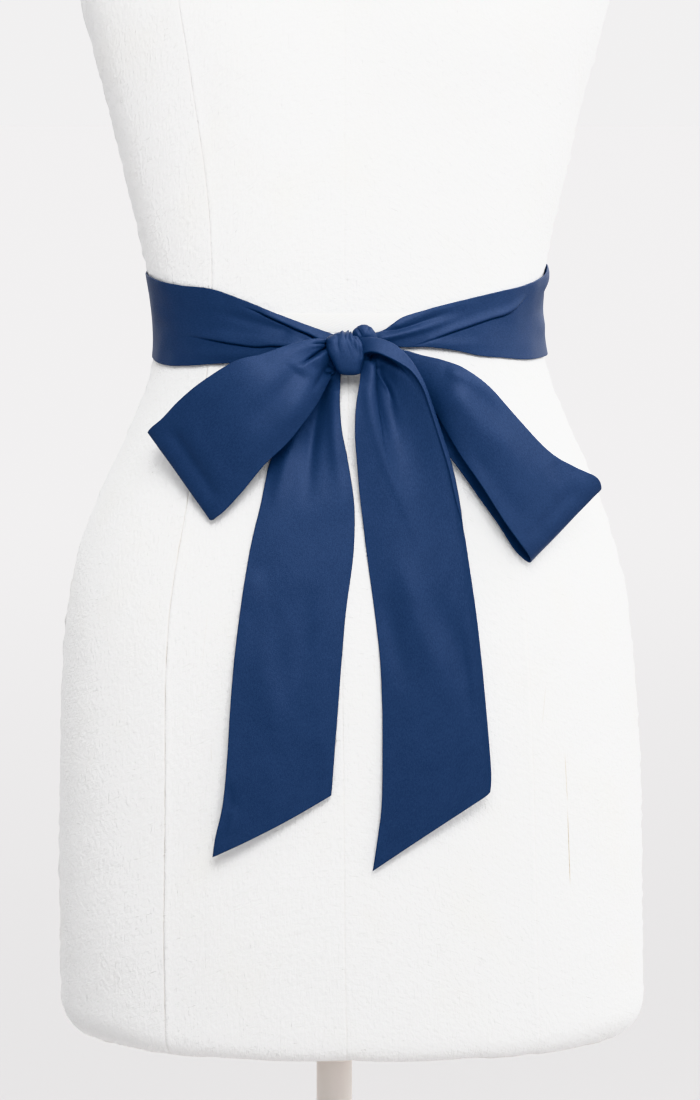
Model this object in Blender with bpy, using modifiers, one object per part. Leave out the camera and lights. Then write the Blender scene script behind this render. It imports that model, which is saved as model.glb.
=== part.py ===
"""A satin sash tied in a bow round the waist of a limbless dress form that stands on a pole and a round foot.

Run it with: blender --background --python part.py

The tables are in millimetres. Across is to the viewer's right, out is towards the viewer from the form's
upright axis, and up is measured from the waist. The model itself is in metres, +Z up, with the viewer on the
-Y side and the origin on the floor at the middle of the foot.
"""

from collections import namedtuple

import bmesh
import bpy
import numpy as np

MM = 0.001

# Driving dimensions, in millimetres.
WAIST_HEIGHT = 1030.0       # floor to the form's waist
FORM_ASIDE = 10.0           # the form's axis lies this far to the right of its pole
HEM_BELOW_WAIST = 449.0
HEM_ROUNDING = 22.0
SQUARENESS = 2.25           # of the form's plan: 2 would be an ellipse
BUST_RISE = 12.0
BUST_APART = 76.0           # each side of the middle
BUST_UP = 192.0
BUST_SPREAD = 56.0
NECK_RIM_RISE = 3.0
NECK_RIM_SHARE = 0.93       # width of the neck's top inside its rounded rim, as a share
POLE_DIAMETER = 22.5
FOOT_DIAMETER = 450.0
FOOT_THICKNESS = 9.0
FOOT_FALL = 2.0             # from the boss to the rim
FOOT_EDGE = 4.0
BOSS_DIAMETER = 42.0
BOSS_HEIGHT = 34.0
BOSS_FILLET_HEIGHT = 6.0
BOSS_FILLET_REACH = 14.0
COLLAR_DIAMETER = 96.0
COLLAR_THICKNESS = 6.0
SOCKET_DIAMETER = 34.0
SOCKET_DROP = 12.0
SOCKET_FILLET = 3.0
EDGE_ROUND = 1.0            # of the stand's other edges
CLEARANCE = 0.3
SASH_WALL = 1.6             # two layers of satin with their pressed seam
BAND_LIFT = 2.2             # middle of the band's wall off the form

# How finely the solids are faceted.
FORM_SIDES = 40
# Rings of the form by stretches of height, closer at the waist and where the shoulders turn in.
FORM_RING_STRETCHES = [(-427, -75, 10), (-60, 60, 13), (84, 342, 9), (352, 460, 9), (476, 476, 1)]
HEM_RINGS = 4
ROUND_SIDES = 32
KNOT_SIDES = 28
KNOT_RINGS = 16
TURN_SIDES = 18
TURN_RINGS = 10

FormRow = namedtuple("FormRow", "up half_width front back shift")
FORM_ROWS = [
    FormRow(-427, 184.0, 114, 118, 1.5),
    FormRow(-400, 184.0, 115, 120, 0.8),
    FormRow(-315, 183.3, 117, 125, 0.0),
    FormRow(-260, 181.8, 118, 128, -0.6),
    FormRow(-219, 179.6, 119, 130, -1.3),
    FormRow(-190, 177.0, 119, 130, -1.6),
    FormRow(-162, 172.8, 117.5, 128, -1.5),
    FormRow(-133, 165.0, 115, 124, -1.4),
    FormRow(-105, 154.8, 110.5, 117, -0.7),
    FormRow(-77, 142.2, 104, 107, -0.2),
    FormRow(-50, 130.3, 97.5, 97, 0.0),
    FormRow(-30, 123.4, 94, 90, -0.3),
    FormRow(-12, 120.2, 92, 86, -1.0),
    FormRow(5, 119.8, 91, 85, -2.0),
    FormRow(25, 122.6, 92.5, 87, -2.6),
    FormRow(51, 127.0, 96, 91, -3.2),
    FormRow(76, 132.8, 99, 95, -3.1),
    FormRow(101, 138.8, 102, 99, -3.1),
    FormRow(138, 147.5, 105, 103, -3.6),
    FormRow(175, 157.4, 107.5, 106, -3.5),
    FormRow(200, 163.6, 108.5, 108, -3.8),
    FormRow(225, 167.6, 108, 110, -3.6),
    FormRow(255, 170.6, 105, 113, -3.2),
    FormRow(290, 172.6, 99, 114, -3.0),
    FormRow(330, 173.0, 90, 111, -3.0),
    FormRow(360, 170.6, 80, 103, -3.0),
    FormRow(380, 158.0, 70, 91, -3.0),
    FormRow(398, 126.0, 61, 77, -3.0),
    FormRow(414, 92.0, 55, 66, -3.0),
    FormRow(428, 69.0, 52, 59, -3.0),
    FormRow(444, 59.0, 51, 55, -3.0),
    FormRow(476, 56.5, 50, 53, -3.0),
]

# The band's edges by turn, in degrees from the middle of the front to either side, as height above the waist.
BandRow = namedtuple("BandRow", "top_turn top_up low_turn low_up lift")
BAND_LEFT_ROWS = [
    BandRow(-2.7, -1.4, -5.0, -12.5, 4.4),
    BandRow(-9, 4.3, -10, -15, 5.4),
    BandRow(-17, 10.9, -18, -17.2, 5.0),
    BandRow(-27, 17.4, -27, -19.4, 3.8),
    BandRow(-38, 23.6, -38, -21.8, 3.0),
    BandRow(-52, 25.9, -52, -24.2, BAND_LIFT),
    BandRow(-66, 27.2, -66, -24.8, BAND_LIFT),
    BandRow(-79, 30.2, -79, -22.0, BAND_LIFT),
    BandRow(-92, 31.6, -92, -19.2, 2.2),
    BandRow(-104, 33.4, -104, -17.2, BAND_LIFT),
    BandRow(-118, 37.0, -118, -15.6, BAND_LIFT),
    BandRow(-130, 37.2, -130, -14.8, BAND_LIFT),
]
BAND_RIGHT_ROWS = [
    BandRow(4.2, -2.2, 4.2, -7.2, 3.6),
    BandRow(8.4, 0.8, 7.6, -8.2, 4.2),
    BandRow(13, 7.6, 12, -8.8, 4.8),
    BandRow(20, 12.8, 20, -8.8, 4.6),
    BandRow(29, 16.8, 29, -13.0, 3.8),
    BandRow(38, 19.9, 38, -16.6, 3.2),
    BandRow(48, 22.9, 48, -18.8, 2.6),
    BandRow(59, 25.1, 59, -20.8, BAND_LIFT),
    BandRow(71, 27.6, 71, -21.0, BAND_LIFT),
    BandRow(82, 30.6, 82, -20.2, 2.8),
    BandRow(93, 34.4, 93, -19.2, 3.6),
    BandRow(104, 36.6, 104, -17.4, 3.2),
    BandRow(118, 37.2, 118, -15.6, BAND_LIFT),
    BandRow(130, 37.4, 130, -14.8, BAND_LIFT),
]
BAND_BACK_ROWS = [
    BandRow(130.3, 37.4, 130.3, -14.8, BAND_LIFT),
    BandRow(148, 38.0, 148, -14.2, BAND_LIFT),
    BandRow(164, 37.2, 164, -15.2, BAND_LIFT),
    BandRow(180, 38.4, 180, -14.0, BAND_LIFT),
    BandRow(196, 37.4, 196, -14.8, BAND_LIFT),
    BandRow(212, 38.2, 212, -13.8, BAND_LIFT),
    BandRow(229.7, 37.2, 229.7, -14.8, BAND_LIFT),
]

# Folds of the band. Above an overlap line the cloth lies one layer further out, and a groove is a pressed
# crease. A line runs through (turn, up) points, and its height fades out towards the last.
FOLD_FADE = 1.2             # 1 would fade from the first point on, and more keeps the fold whole for longer
GROOVE_SPARE = 0.4          # deepest groove where the band lies close on the form
BandFold = namedtuple("BandFold", "kind turns ups height width")
BAND_LEFT_FOLDS = [
    BandFold("overlap", (-3, -8, -14, -24, -38), (-6.0, -2.6, 4.9, 15.8, 24.0), 3.4, 2.4),
    BandFold("groove", (-10, -19, -27, -40, -51), (-9.6, -10.0, -9.3, -6.2, -4.4), 2.2, 3.0),
]
BAND_RIGHT_FOLDS = [
    BandFold("overlap", (14, 18, 26, 31, 43, 58, 69), (-9.6, -7.4, -2.6, 0.8, 6.1, 9.7, 15.8), 3.0, 2.4),
    BandFold("groove", (6, 15, 18, 27), (-3.1, -0.1, 1.5, 6.0), 1.8, 2.4),
]
BAND_BACK_FOLDS = [
    BandFold("groove", (134, 160, 180), (6.0, 2.0, 4.0), 1.6, 5.0),
    BandFold("groove", (226, 205, 190), (18.0, 21.0, 16.0), 1.6, 5.0),
]

# A strip of the sash from one edge to the other: each edge as (across, up, out), and how far the middle
# bows out.
StripRow = namedtuple("StripRow", "first second bow")
LOOP_LEFT_ROWS = [
    StripRow((-14.2, -7.8, 103.6), (-9.6, -23.8, 103.2), 0.2),
    StripRow((-24.1, -6.2, 111.6), (-14.6, -32.0, 109.6), 3.0),
    StripRow((-38.0, -7.4, 117.5), (-20.0, -42.0, 114.5), 5.0),
    StripRow((-53.0, -12.0, 119.5), (-27.6, -53.0, 118.5), 5.5),
    StripRow((-68.0, -17.6, 119.0), (-37.5, -65.5, 120.0), 5.5),
    StripRow((-87.4, -31.0, 114.0), (-51.5, -79.0, 119.5), 4.5),
    StripRow((-102.6, -41.2, 107.0), (-64.5, -95.0, 115.5), 3.0),
    StripRow((-114.4, -51.7, 100.5), (-75.8, -107.6, 111.0), 1.5),
    StripRow((-120.8, -58.4, 96.0), (-82.2, -112.6, 107.8), 0.5),
    StripRow((-122.8, -61.4, 91.5), (-84.4, -113.8, 104.8), 0.0),
    StripRow((-119.4, -59.6, 87.5), (-82.0, -113.4, 102.0), -0.5),
    StripRow((-108.0, -52.4, 86.5), (-73.6, -108.8, 103.6), -1.5),
    StripRow((-90.0, -40.6, 91.0), (-60.6, -94.6, 106.0), -2.0),
    StripRow((-68.0, -27.4, 97.0), (-45.0, -75.6, 107.0), -1.5),
    StripRow((-45.0, -17.6, 102.0), (-30.0, -55.6, 105.4), -0.5),
    StripRow((-25.0, -10.6, 102.6), (-17.0, -34.0, 104.4), 0.0),
    StripRow((-12.8, -8.8, 101.6), (-9.0, -22.6, 101.2), 0.0),
]
LOOP_RIGHT_ROWS = [
    StripRow((7.6, -9.6, 102.4), (7.0, -19.4, 101.4), 0.2),
    StripRow((20.0, -9.0, 104.2), (17.6, -24.0, 103.4), 0.5),
    StripRow((31.0, -10.0, 106.8), (28.0, -30.6, 105.4), 1.0),
    StripRow((43.0, -13.2, 109.8), (39.4, -38.0, 107.2), 2.0),
    StripRow((56.0, -16.2, 113.4), (49.6, -45.0, 109.8), 3.5),
    StripRow((68.6, -20.9, 115.6), (57.2, -57.2, 114.0), 5.0),
    StripRow((85.4, -33.0, 114.0), (66.6, -73.2, 118.6), 5.0),
    StripRow((103.6, -53.6, 107.6), (78.8, -90.8, 121.0), 4.5),
    StripRow((120.6, -73.4, 98.6), (91.4, -110.4, 119.6), 3.0),
    StripRow((136.6, -83.0, 91.6), (101.4, -125.2, 115.6), 1.5),
    StripRow((150.2, -89.4, 86.6), (107.4, -133.6, 111.0), 0.5),
    StripRow((154.0, -96.6, 82.4), (109.6, -138.0, 106.4), 0.0),
    StripRow((150.6, -96.6, 78.8), (107.6, -139.6, 102.0), -0.5),
    StripRow((137.6, -90.4, 81.6), (100.6, -131.8, 101.6), -1.5),
    StripRow((119.6, -80.2, 88.0), (89.4, -116.8, 103.4), -1.5),
    StripRow((99.6, -62.0, 95.0), (75.6, -98.6, 104.6), -1.0),
    StripRow((79.6, -42.6, 99.6), (63.0, -84.6, 104.8), -0.5),
    StripRow((58.0, -27.0, 101.6), (47.6, -63.0, 104.2), 0.0),
    StripRow((37.0, -17.4, 102.6), (31.0, -39.6, 102.6), 0.0),
    StripRow((20.6, -12.4, 101.2), (18.4, -26.0, 100.4), 0.0),
    StripRow((7.0, -10.8, 99.4), (6.6, -19.6, 98.6), 0.0),
]
TAIL_LEFT_ROWS = [
    StripRow((-11.6, -21.0, 98.4), (-7.2, -23.4, 99.0), 0.2),
    StripRow((-18.0, -37.0, 99.8), (-5.8, -37.4, 102.6), 0.4),
    StripRow((-27.6, -50.0, 101.8), (-5.2, -48.0, 105.0), 0.5),
    StripRow((-38.4, -64.0, 101.8), (-3.6, -60.4, 106.0), 0.6),
    StripRow((-47.6, -79.0, 102.8), (-0.6, -75.0, 109.0), 0.9),
    StripRow((-53.6, -103.6, 109.8), (2.6, -98.0, 113.8), 1.6),
    StripRow((-58.2, -120.4, 113.0), (3.0, -114.6, 115.8), 1.6),
    StripRow((-62.2, -137.4, 115.4), (1.2, -136.8, 118.0), 1.4),
    StripRow((-66.3, -166.4, 118.4), (-2.4, -168.0, 120.6), 1.2),
    StripRow((-70.1, -197.0, 120.4), (-5.0, -198.0, 122.0), 1.2),
    StripRow((-72.7, -227.0, 121.4), (-7.1, -226.0, 122.6), 1.4),
    StripRow((-74.5, -257.0, 121.8), (-9.2, -253.0, 122.8), 1.6),
    StripRow((-76.8, -286.0, 121.8), (-10.4, -269.0, 122.8), 1.6),
    StripRow((-80.6, -305.4, 121.8), (-10.9, -275.6, 122.8), 1.4),
    StripRow((-81.4, -317.4, 121.8), (-11.3, -279.8, 122.8), 1.2),
]
# The right tail turns down from the knot in a soft corner: a ridge runs down its left strip and a hollow lies
# beside it, under the fold that covers the corner.
CornerRow = namedtuple("CornerRow", "left ridge hollow right")
TAIL_RIGHT_ROWS = [
    CornerRow((8.5, -17.8, 105.0), (10.2, -15.8, 106.8), (12.8, -13.4, 106.6), (15.8, -11.0, 107.2)),
    CornerRow((7.3, -28.0, 108.4), (16.8, -21.6, 112.6), (19.8, -20.6, 109.4), (32.4, -16.6, 111.6)),
    CornerRow((5.0, -39.0, 111.2), (16.0, -33.6, 115.4), (21.8, -32.6, 111.2), (42.4, -29.6, 115.6)),
    CornerRow((3.9, -51.0, 112.6), (17.6, -46.8, 116.6), (25.4, -46.0, 112.6), (50.2, -49.4, 117.6)),
    CornerRow((3.9, -63.0, 113.2), (19.8, -60.4, 117.0), (30.0, -60.0, 114.0), (55.6, -63.2, 118.4)),
    CornerRow((5.2, -80.4, 113.8), (24.2, -80.0, 117.4), (38.0, -80.0, 116.0), (61.6, -80.6, 118.8)),
    CornerRow((6.8, -100.6, 114.8), (27.4, -100.4, 117.8), (45.0, -100.4, 117.4), (66.0, -101.0, 118.8)),
    CornerRow((8.8, -119.4, 116.0), (29.4, -119.2, 118.6), (49.0, -119.2, 118.8), (69.4, -119.4, 119.6)),
    CornerRow((11.0, -137.6, 117.4), (31.4, -137.4, 119.6), (51.6, -137.4, 120.0), (72.3, -137.2, 120.4)),
    CornerRow((15.2, -168.5, 119.6), (35.4, -168.6, 121.4), (55.8, -168.6, 121.8), (76.2, -168.4, 121.6)),
    CornerRow((18.6, -196.0, 121.0), (39.0, -197.0, 122.6), (59.4, -197.6, 123.0), (79.6, -198.0, 122.4)),
    CornerRow((20.3, -223.0, 121.8), (41.0, -224.4, 123.4), (61.8, -225.2, 123.8), (82.4, -226.0, 122.8)),
    CornerRow((20.8, -252.0, 122.0), (42.0, -252.0, 123.6), (63.4, -251.6, 124.0), (84.6, -251.0, 123.0)),
    CornerRow((20.4, -284.0, 122.0), (42.4, -277.0, 123.4), (64.4, -270.4, 123.8), (85.6, -264.4, 123.0)),
    CornerRow((18.2, -304.6, 122.0), (41.0, -293.4, 123.2), (63.6, -282.4, 123.6), (85.6, -271.8, 123.0)),
    CornerRow((14.9, -325.4, 122.0), (38.2, -309.4, 123.0), (61.4, -293.4, 123.4), (84.9, -276.5, 123.0)),
]
# The fold over that corner, from its free lower edge to the bend along the tail's outer edge.
HOOD_ROWS = [
    StripRow((9.0, -14.2, 112.4), (8.8, -4.4, 111.8), 0.5),
    StripRow((12.4, -12.4, 116.8), (13.2, -3.2, 115.2), 1.0),
    StripRow((16.0, -11.3, 118.8), (18.6, -4.2, 116.8), 1.4),
    StripRow((22.4, -13.4, 120.4), (25.6, -7.2, 118.2), 1.4),
    StripRow((29.0, -16.2, 121.0), (32.4, -13.2, 119.2), 0.9),
    StripRow((35.4, -20.8, 121.4), (38.6, -21.2, 120.4), 0.5),
    StripRow((40.2, -27.2, 121.6), (43.8, -29.6, 121.0), 0.4),
    StripRow((44.4, -36.4, 121.0), (48.0, -40.4, 120.6), 0.4),
    StripRow((48.2, -47.6, 120.6), (51.9, -51.8, 120.2), 0.3),
    StripRow((52.6, -61.6, 120.8), (56.4, -64.2, 120.6), 0.2),
    StripRow((58.4, -80.0, 121.2), (61.4, -81.0, 121.0), 0.1),
    StripRow((63.6, -100.0, 121.4), (65.8, -101.0, 121.2), 0.0),
    StripRow((68.2, -118.0, 122.0), (69.2, -118.6, 121.9), 0.0),
]

# The knot: how far it reaches left and right at each height.
KnotRow = namedtuple("KnotRow", "up left right")
KNOT_ROWS = [
    KnotRow(-26.8, -7.4, 6.6),
    KnotRow(-24.0, -8.0, 7.0),
    KnotRow(-19.8, -9.8, 7.6),
    KnotRow(-15.0, -12.0, 8.3),
    KnotRow(-11.0, -13.7, 8.5),
    KnotRow(-6.0, -14.4, 8.4),
    KnotRow(-1.0, -11.6, 7.4),
    KnotRow(3.2, -8.0, 5.4),
]
KNOT_BACK = 94.6
KNOT_FRONT = 119.0
KNOT_WIDEST = 109.0         # out, where the knot is widest; behind it the knot narrows
KNOT_NARROWING = 0.35
KNOT_FLATNESS = 0.67        # under 1 squares the ball up, seen from the side
KNOT_SQUARENESS = 2.6       # over 2 squares it in plan
KNOT_END_FULLNESS = 1.6
TURN_CENTRE = (9.2, -1.0, 103.4)        # across, up, out of the roll over the knot's corner
TURN_SIZE = (7.6, 6.0, 4.6)

# Colours as linear red, green, blue.
NAVY = (0.022, 0.050, 0.135)
LINEN_WHITE = (0.85, 0.84, 0.81)
PAINT_GREY = (0.60, 0.55, 0.51)


def curve_through(knots, values, at):
    """Smooth curve through the values at the knots, read at other places along it."""
    knots = np.asarray(knots, float)
    values = np.asarray(values, float)
    at = np.asarray(at, float)
    slopes = np.gradient(values, knots, axis=0)
    low = np.clip(np.searchsorted(knots, at, side="right") - 1, 0, len(knots) - 2)
    extra = (1,) * (values.ndim - 1)
    span = (knots[low + 1] - knots[low]).reshape(at.shape + extra)
    t = ((at - knots[low]) / (knots[low + 1] - knots[low])).reshape(at.shape + extra)
    start = (1 + 2 * t) * (1 - t) ** 2 * values[low] + t * (1 - t) ** 2 * span * slopes[low]
    return start + t * t * (3 - 2 * t) * values[low + 1] + t * t * (t - 1) * span * slopes[low + 1]


def smooth_step(value):
    """0 below 0, 1 above 1, and an even rise between."""
    value = np.clip(value, 0, 1)
    return value * value * (3 - 2 * value)


def form_point(turn, up, lift=0.0):
    """Points on the form's surface, or lifted off it, by turn in degrees from the front and by height."""
    turn, up = np.broadcast_arrays(np.radians(turn), np.asarray(up, float))
    sizes = curve_through([row.up for row in FORM_ROWS], [row[1:] for row in FORM_ROWS], up)
    half_width, front, back, shift = np.moveaxis(sizes, -1, 0)
    side, ahead = np.sin(turn), np.cos(turn)
    depth = np.where(ahead >= 0, front, back)
    across = half_width * np.sign(side) * np.abs(side) ** (2 / SQUARENESS)
    out = depth * np.sign(ahead) * np.abs(ahead) ** (2 / SQUARENESS)
    slope_across = np.sign(side) * np.abs(across / half_width) ** (SQUARENESS - 1) / half_width
    slope_out = np.sign(ahead) * np.abs(out / depth) ** (SQUARENESS - 1) / depth
    length = np.hypot(slope_across, slope_out)
    nearer = np.abs(across) - BUST_APART
    rise = BUST_RISE * np.exp(-(nearer**2 + (up - BUST_UP) ** 2) / BUST_SPREAD**2) * smooth_step(ahead * 2)
    out = out + rise
    return np.stack([across + shift + lift * slope_across / length, up, out + lift * slope_out / length], -1)


def world(points):
    """Tables' (across, up, out) in millimetres to the model's (x, y, z) in metres."""
    points = np.asarray(points, float)
    across, up, out = points[..., 0], points[..., 1], points[..., 2]
    return np.stack([across + FORM_ASIDE, -out, up + WAIST_HEIGHT], -1) * MM


def paint(name, colour, roughness, metallic=0.0):
    """A Principled material of one colour."""
    material = bpy.data.materials.new(name)
    material.use_nodes = True
    shader = material.node_tree.nodes["Principled BSDF"]
    shader.inputs["Base Color"].default_value = (*colour, 1.0)
    shader.inputs["Roughness"].default_value = roughness
    shader.inputs["Metallic"].default_value = metallic
    return material


def add_mesh_object(name, mesh, material):
    """Put a mesh into the collection of parts as an object with its material, shaded smooth."""
    piece = bpy.data.objects.new(name, mesh)
    mesh.materials.append(material)
    mesh.shade_smooth()
    parts.objects.link(piece)
    return piece


def cloth_wall(name, points):
    """A wall of cloth round a grid of points: the open surface with Solidify."""
    stations, width = points.shape[:2]
    corner = np.arange(stations * width).reshape(stations, width)
    faces = np.stack([corner[:-1, :-1], corner[1:, :-1], corner[1:, 1:], corner[:-1, 1:]], -1).reshape(-1, 4)
    mesh = bpy.data.meshes.new(name)
    mesh.from_pydata(world(points).reshape(-1, 3).tolist(), [], faces.tolist())
    wall = add_mesh_object(name, mesh, paint(name + "_satin", NAVY, 0.45))
    thickness = wall.modifiers.new("wall", "SOLIDIFY")
    thickness.thickness = SASH_WALL * MM
    thickness.offset = 0.0
    return wall


def strip_grid(rows, along, across):
    """Points of a strip between two edges, bowed out in the middle."""
    places = np.linspace(0, len(rows) - 1, along)
    first = curve_through(range(len(rows)), [row.first for row in rows], places)[:, None]
    second = curve_through(range(len(rows)), [row.second for row in rows], places)[:, None]
    bow = curve_through(range(len(rows)), [row.bow for row in rows], places)[:, None, None]
    share = np.linspace(0, 1, across)[None, :, None]
    points = first + (second - first) * share
    points[..., 2:] += bow * 4 * share * (1 - share)
    return points


def corner_grid(rows, along, across):
    """Points of a strip through four guide lines, spread evenly over its width."""
    places = np.linspace(0, len(rows) - 1, along)
    guides = np.array([[row.left, row.ridge, row.hollow, row.right] for row in rows], float)
    lines = curve_through(range(len(rows)), guides, places)
    points = []
    for line in lines:
        length = np.concatenate([[0], np.cumsum(np.linalg.norm(np.diff(line, axis=0), axis=1))])
        points.append(curve_through(length, line, np.linspace(0, length[-1], across)))
    return np.array(points)


def band_grid(rows, folds, along, across):
    """Points of a stretch of the band, laid on the form with its overlaps and grooves."""
    places = np.linspace(0, len(rows) - 1, along)
    edges = curve_through(range(len(rows)), rows, places)
    top_turn, top_up, low_turn, low_up, lift = (column[:, None] for column in edges.T)
    share = np.linspace(0, 1, across)[None, :]
    turn = low_turn + (top_turn - low_turn) * share
    up = low_up + (top_up - low_up) * share
    relief = np.zeros_like(turn)
    for fold in folds:
        order = np.argsort(fold.turns)
        turns, ups = np.array(fold.turns, float)[order], np.array(fold.ups, float)[order]
        above = up - np.interp(turn, turns, ups)
        gone = np.abs(turn - fold.turns[0]) / abs(fold.turns[-1] - fold.turns[0])
        left = smooth_step(FOLD_FADE - gone)
        if fold.kind == "overlap":
            relief += fold.height * left * smooth_step(0.5 + above / fold.width)
        else:
            relief -= fold.height * left * np.exp(-((above / fold.width) ** 2))
    deepest = GROOVE_SPARE - BAND_LIFT + lift
    return form_point(turn, up, lift + np.maximum(relief, -deepest))


def build_form():
    """The torso: rings up its height, a rounded hem, a flat underside and a closed neck."""
    turns = np.linspace(0, 360, FORM_SIDES, endpoint=False)
    heights = np.concatenate([np.linspace(*stretch) for stretch in FORM_RING_STRETCHES])
    rings = []
    for quarter in np.linspace(90, 0, HEM_RINGS, endpoint=False):
        inset = HEM_ROUNDING * (1 - np.cos(np.radians(quarter)))
        drop = HEM_ROUNDING * np.sin(np.radians(quarter))
        ring = form_point(turns, np.full(FORM_SIDES, heights[0]), -inset)
        ring[:, 1] -= drop
        rings.append(ring)
    for height in heights:
        rings.append(form_point(turns, np.full(FORM_SIDES, height)))
    top = rings[-1].copy()
    middle = top.mean(axis=0)
    rim = middle + (top - middle) * NECK_RIM_SHARE
    rim[:, 1] += NECK_RIM_RISE
    rings.append(rim)
    mesh = bpy.data.meshes.new("form_torso")
    shape = bmesh.new()
    loops = [[shape.verts.new(point) for point in world(ring)] for ring in rings]
    for lower, upper in zip(loops, loops[1:]):
        for side in range(FORM_SIDES):
            after = (side + 1) % FORM_SIDES
            shape.faces.new([lower[side], lower[after], upper[after], upper[side]])
    shape.faces.new(reversed(loops[0]))
    shape.faces.new(loops[-1])
    shape.to_mesh(mesh)
    shape.free()
    add_mesh_object("form_torso", mesh, paint("painted_linen", LINEN_WHITE, 0.8))
    mesh.set_sharp_from_angle(angle=np.radians(50))


def turned_piece(name, profile, material, closed=False):
    """A turned shape on the pole's axis, from (radius, height) points in millimetres down its outer side."""
    mesh = bpy.data.meshes.new(name)
    points = [(radius * MM, 0.0, height * MM) for radius, height in profile]
    edges = [(index, index + 1) for index in range(len(points) - 1)]
    if closed:
        edges.append((len(points) - 1, 0))
    mesh.from_pydata(points, edges, [])
    piece = add_mesh_object(name, mesh, material)
    screw = piece.modifiers.new("turn", "SCREW")
    screw.steps = ROUND_SIDES
    screw.render_steps = ROUND_SIDES
    screw.use_merge_vertices = True
    screw.merge_threshold = 0.0001
    return piece


def build_stand():
    """Foot, pole and the collar under the form."""
    grey = paint("painted_steel", PAINT_GREY, 0.5)
    bore = POLE_DIAMETER / 2 + CLEARANCE
    foot, boss = FOOT_DIAMETER / 2, BOSS_DIAMETER / 2
    turned_piece("form_base", [
        (0, FOOT_THICKNESS),
        (bore, FOOT_THICKNESS),
        (bore, BOSS_HEIGHT - EDGE_ROUND),
        (bore + EDGE_ROUND, BOSS_HEIGHT),
        (boss - 2 * EDGE_ROUND, BOSS_HEIGHT),
        (boss, BOSS_HEIGHT - 2 * EDGE_ROUND),
        (boss, FOOT_THICKNESS + BOSS_FILLET_HEIGHT),
        (boss + BOSS_FILLET_REACH / 3, FOOT_THICKNESS + BOSS_FILLET_HEIGHT / 3),
        (boss + BOSS_FILLET_REACH, FOOT_THICKNESS),
        (foot - FOOT_EDGE, FOOT_THICKNESS - FOOT_FALL),
        (foot - FOOT_EDGE / 4, FOOT_THICKNESS - FOOT_FALL - FOOT_EDGE / 3),
        (foot, FOOT_THICKNESS - FOOT_FALL - FOOT_EDGE),
        (foot, EDGE_ROUND),
        (foot - EDGE_ROUND, 0),
        (0, 0),
    ], grey)
    underside = WAIST_HEIGHT - HEM_BELOW_WAIST - CLEARANCE
    pole_bottom = FOOT_THICKNESS + CLEARANCE
    bpy.ops.mesh.primitive_cylinder_add(
        vertices=ROUND_SIDES,
        radius=POLE_DIAMETER / 2 * MM,
        depth=(underside - pole_bottom) * MM,
        location=(0, 0, (underside + pole_bottom) / 2 * MM),
    )
    pole = bpy.context.object
    pole.name = "form_pole"
    pole.data.materials.append(grey)
    pole.data.shade_smooth()
    pole.data.set_sharp_from_angle(angle=np.radians(40))
    for home in pole.users_collection:
        home.objects.unlink(pole)
    parts.objects.link(pole)
    flange, socket = COLLAR_DIAMETER / 2, SOCKET_DIAMETER / 2
    flange_bottom = underside - COLLAR_THICKNESS
    turned_piece("form_collar", [
        (bore, underside),
        (flange - EDGE_ROUND, underside),
        (flange, underside - EDGE_ROUND),
        (flange, flange_bottom + 2 * EDGE_ROUND),
        (flange - 2 * EDGE_ROUND, flange_bottom),
        (socket + SOCKET_FILLET, flange_bottom - SOCKET_FILLET / 3),
        (socket, flange_bottom - SOCKET_FILLET),
        (socket, flange_bottom - SOCKET_DROP + EDGE_ROUND),
        (socket - EDGE_ROUND, flange_bottom - SOCKET_DROP),
        (bore, flange_bottom - SOCKET_DROP),
    ], grey, closed=True)


def knot_mesh(name, grow=0.0):
    """The knot as a ball pulled to its sizes, grown all round by a clearance."""
    ups = np.array([row.up for row in KNOT_ROWS])
    low, high = ups[0] - grow, ups[-1] + grow
    reaches = [(row.left - grow, row.right + grow) for row in KNOT_ROWS]
    ahead_depth = KNOT_FRONT - KNOT_WIDEST + grow
    behind_depth = KNOT_WIDEST - KNOT_BACK + grow
    mesh = bpy.data.meshes.new(name)
    shape = bmesh.new()
    bmesh.ops.create_uvsphere(shape, u_segments=KNOT_SIDES, v_segments=KNOT_RINGS, radius=1.0)
    for vert in shape.verts:
        height = np.sign(vert.co.z) * abs(vert.co.z) ** KNOT_FLATNESS
        up = (low + high) / 2 + height * (high - low) / 2
        left, right = curve_through(ups, reaches, np.clip(up, ups[0], ups[-1]))
        round_it = np.arctan2(vert.co.x, -vert.co.y)
        side, ahead = np.sin(round_it), np.cos(round_it)
        swell = (abs(side) ** KNOT_SQUARENESS + abs(ahead) ** KNOT_SQUARENESS) ** (-1 / KNOT_SQUARENESS)
        fullness = np.hypot(vert.co.x, vert.co.y) ** KNOT_FLATNESS
        depth = ahead_depth if ahead > 0 else behind_depth
        out = KNOT_WIDEST + ahead * swell * depth * fullness
        narrower = 1 - KNOT_NARROWING * max(0, (KNOT_WIDEST - out) / behind_depth)
        width = (right - left) * min(1, fullness * KNOT_END_FULLNESS) * narrower
        across = (left + right) / 2 + side * swell * width / 2
        vert.co = world((across, up, out))
    shape.to_mesh(mesh)
    shape.free()
    return mesh


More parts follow.
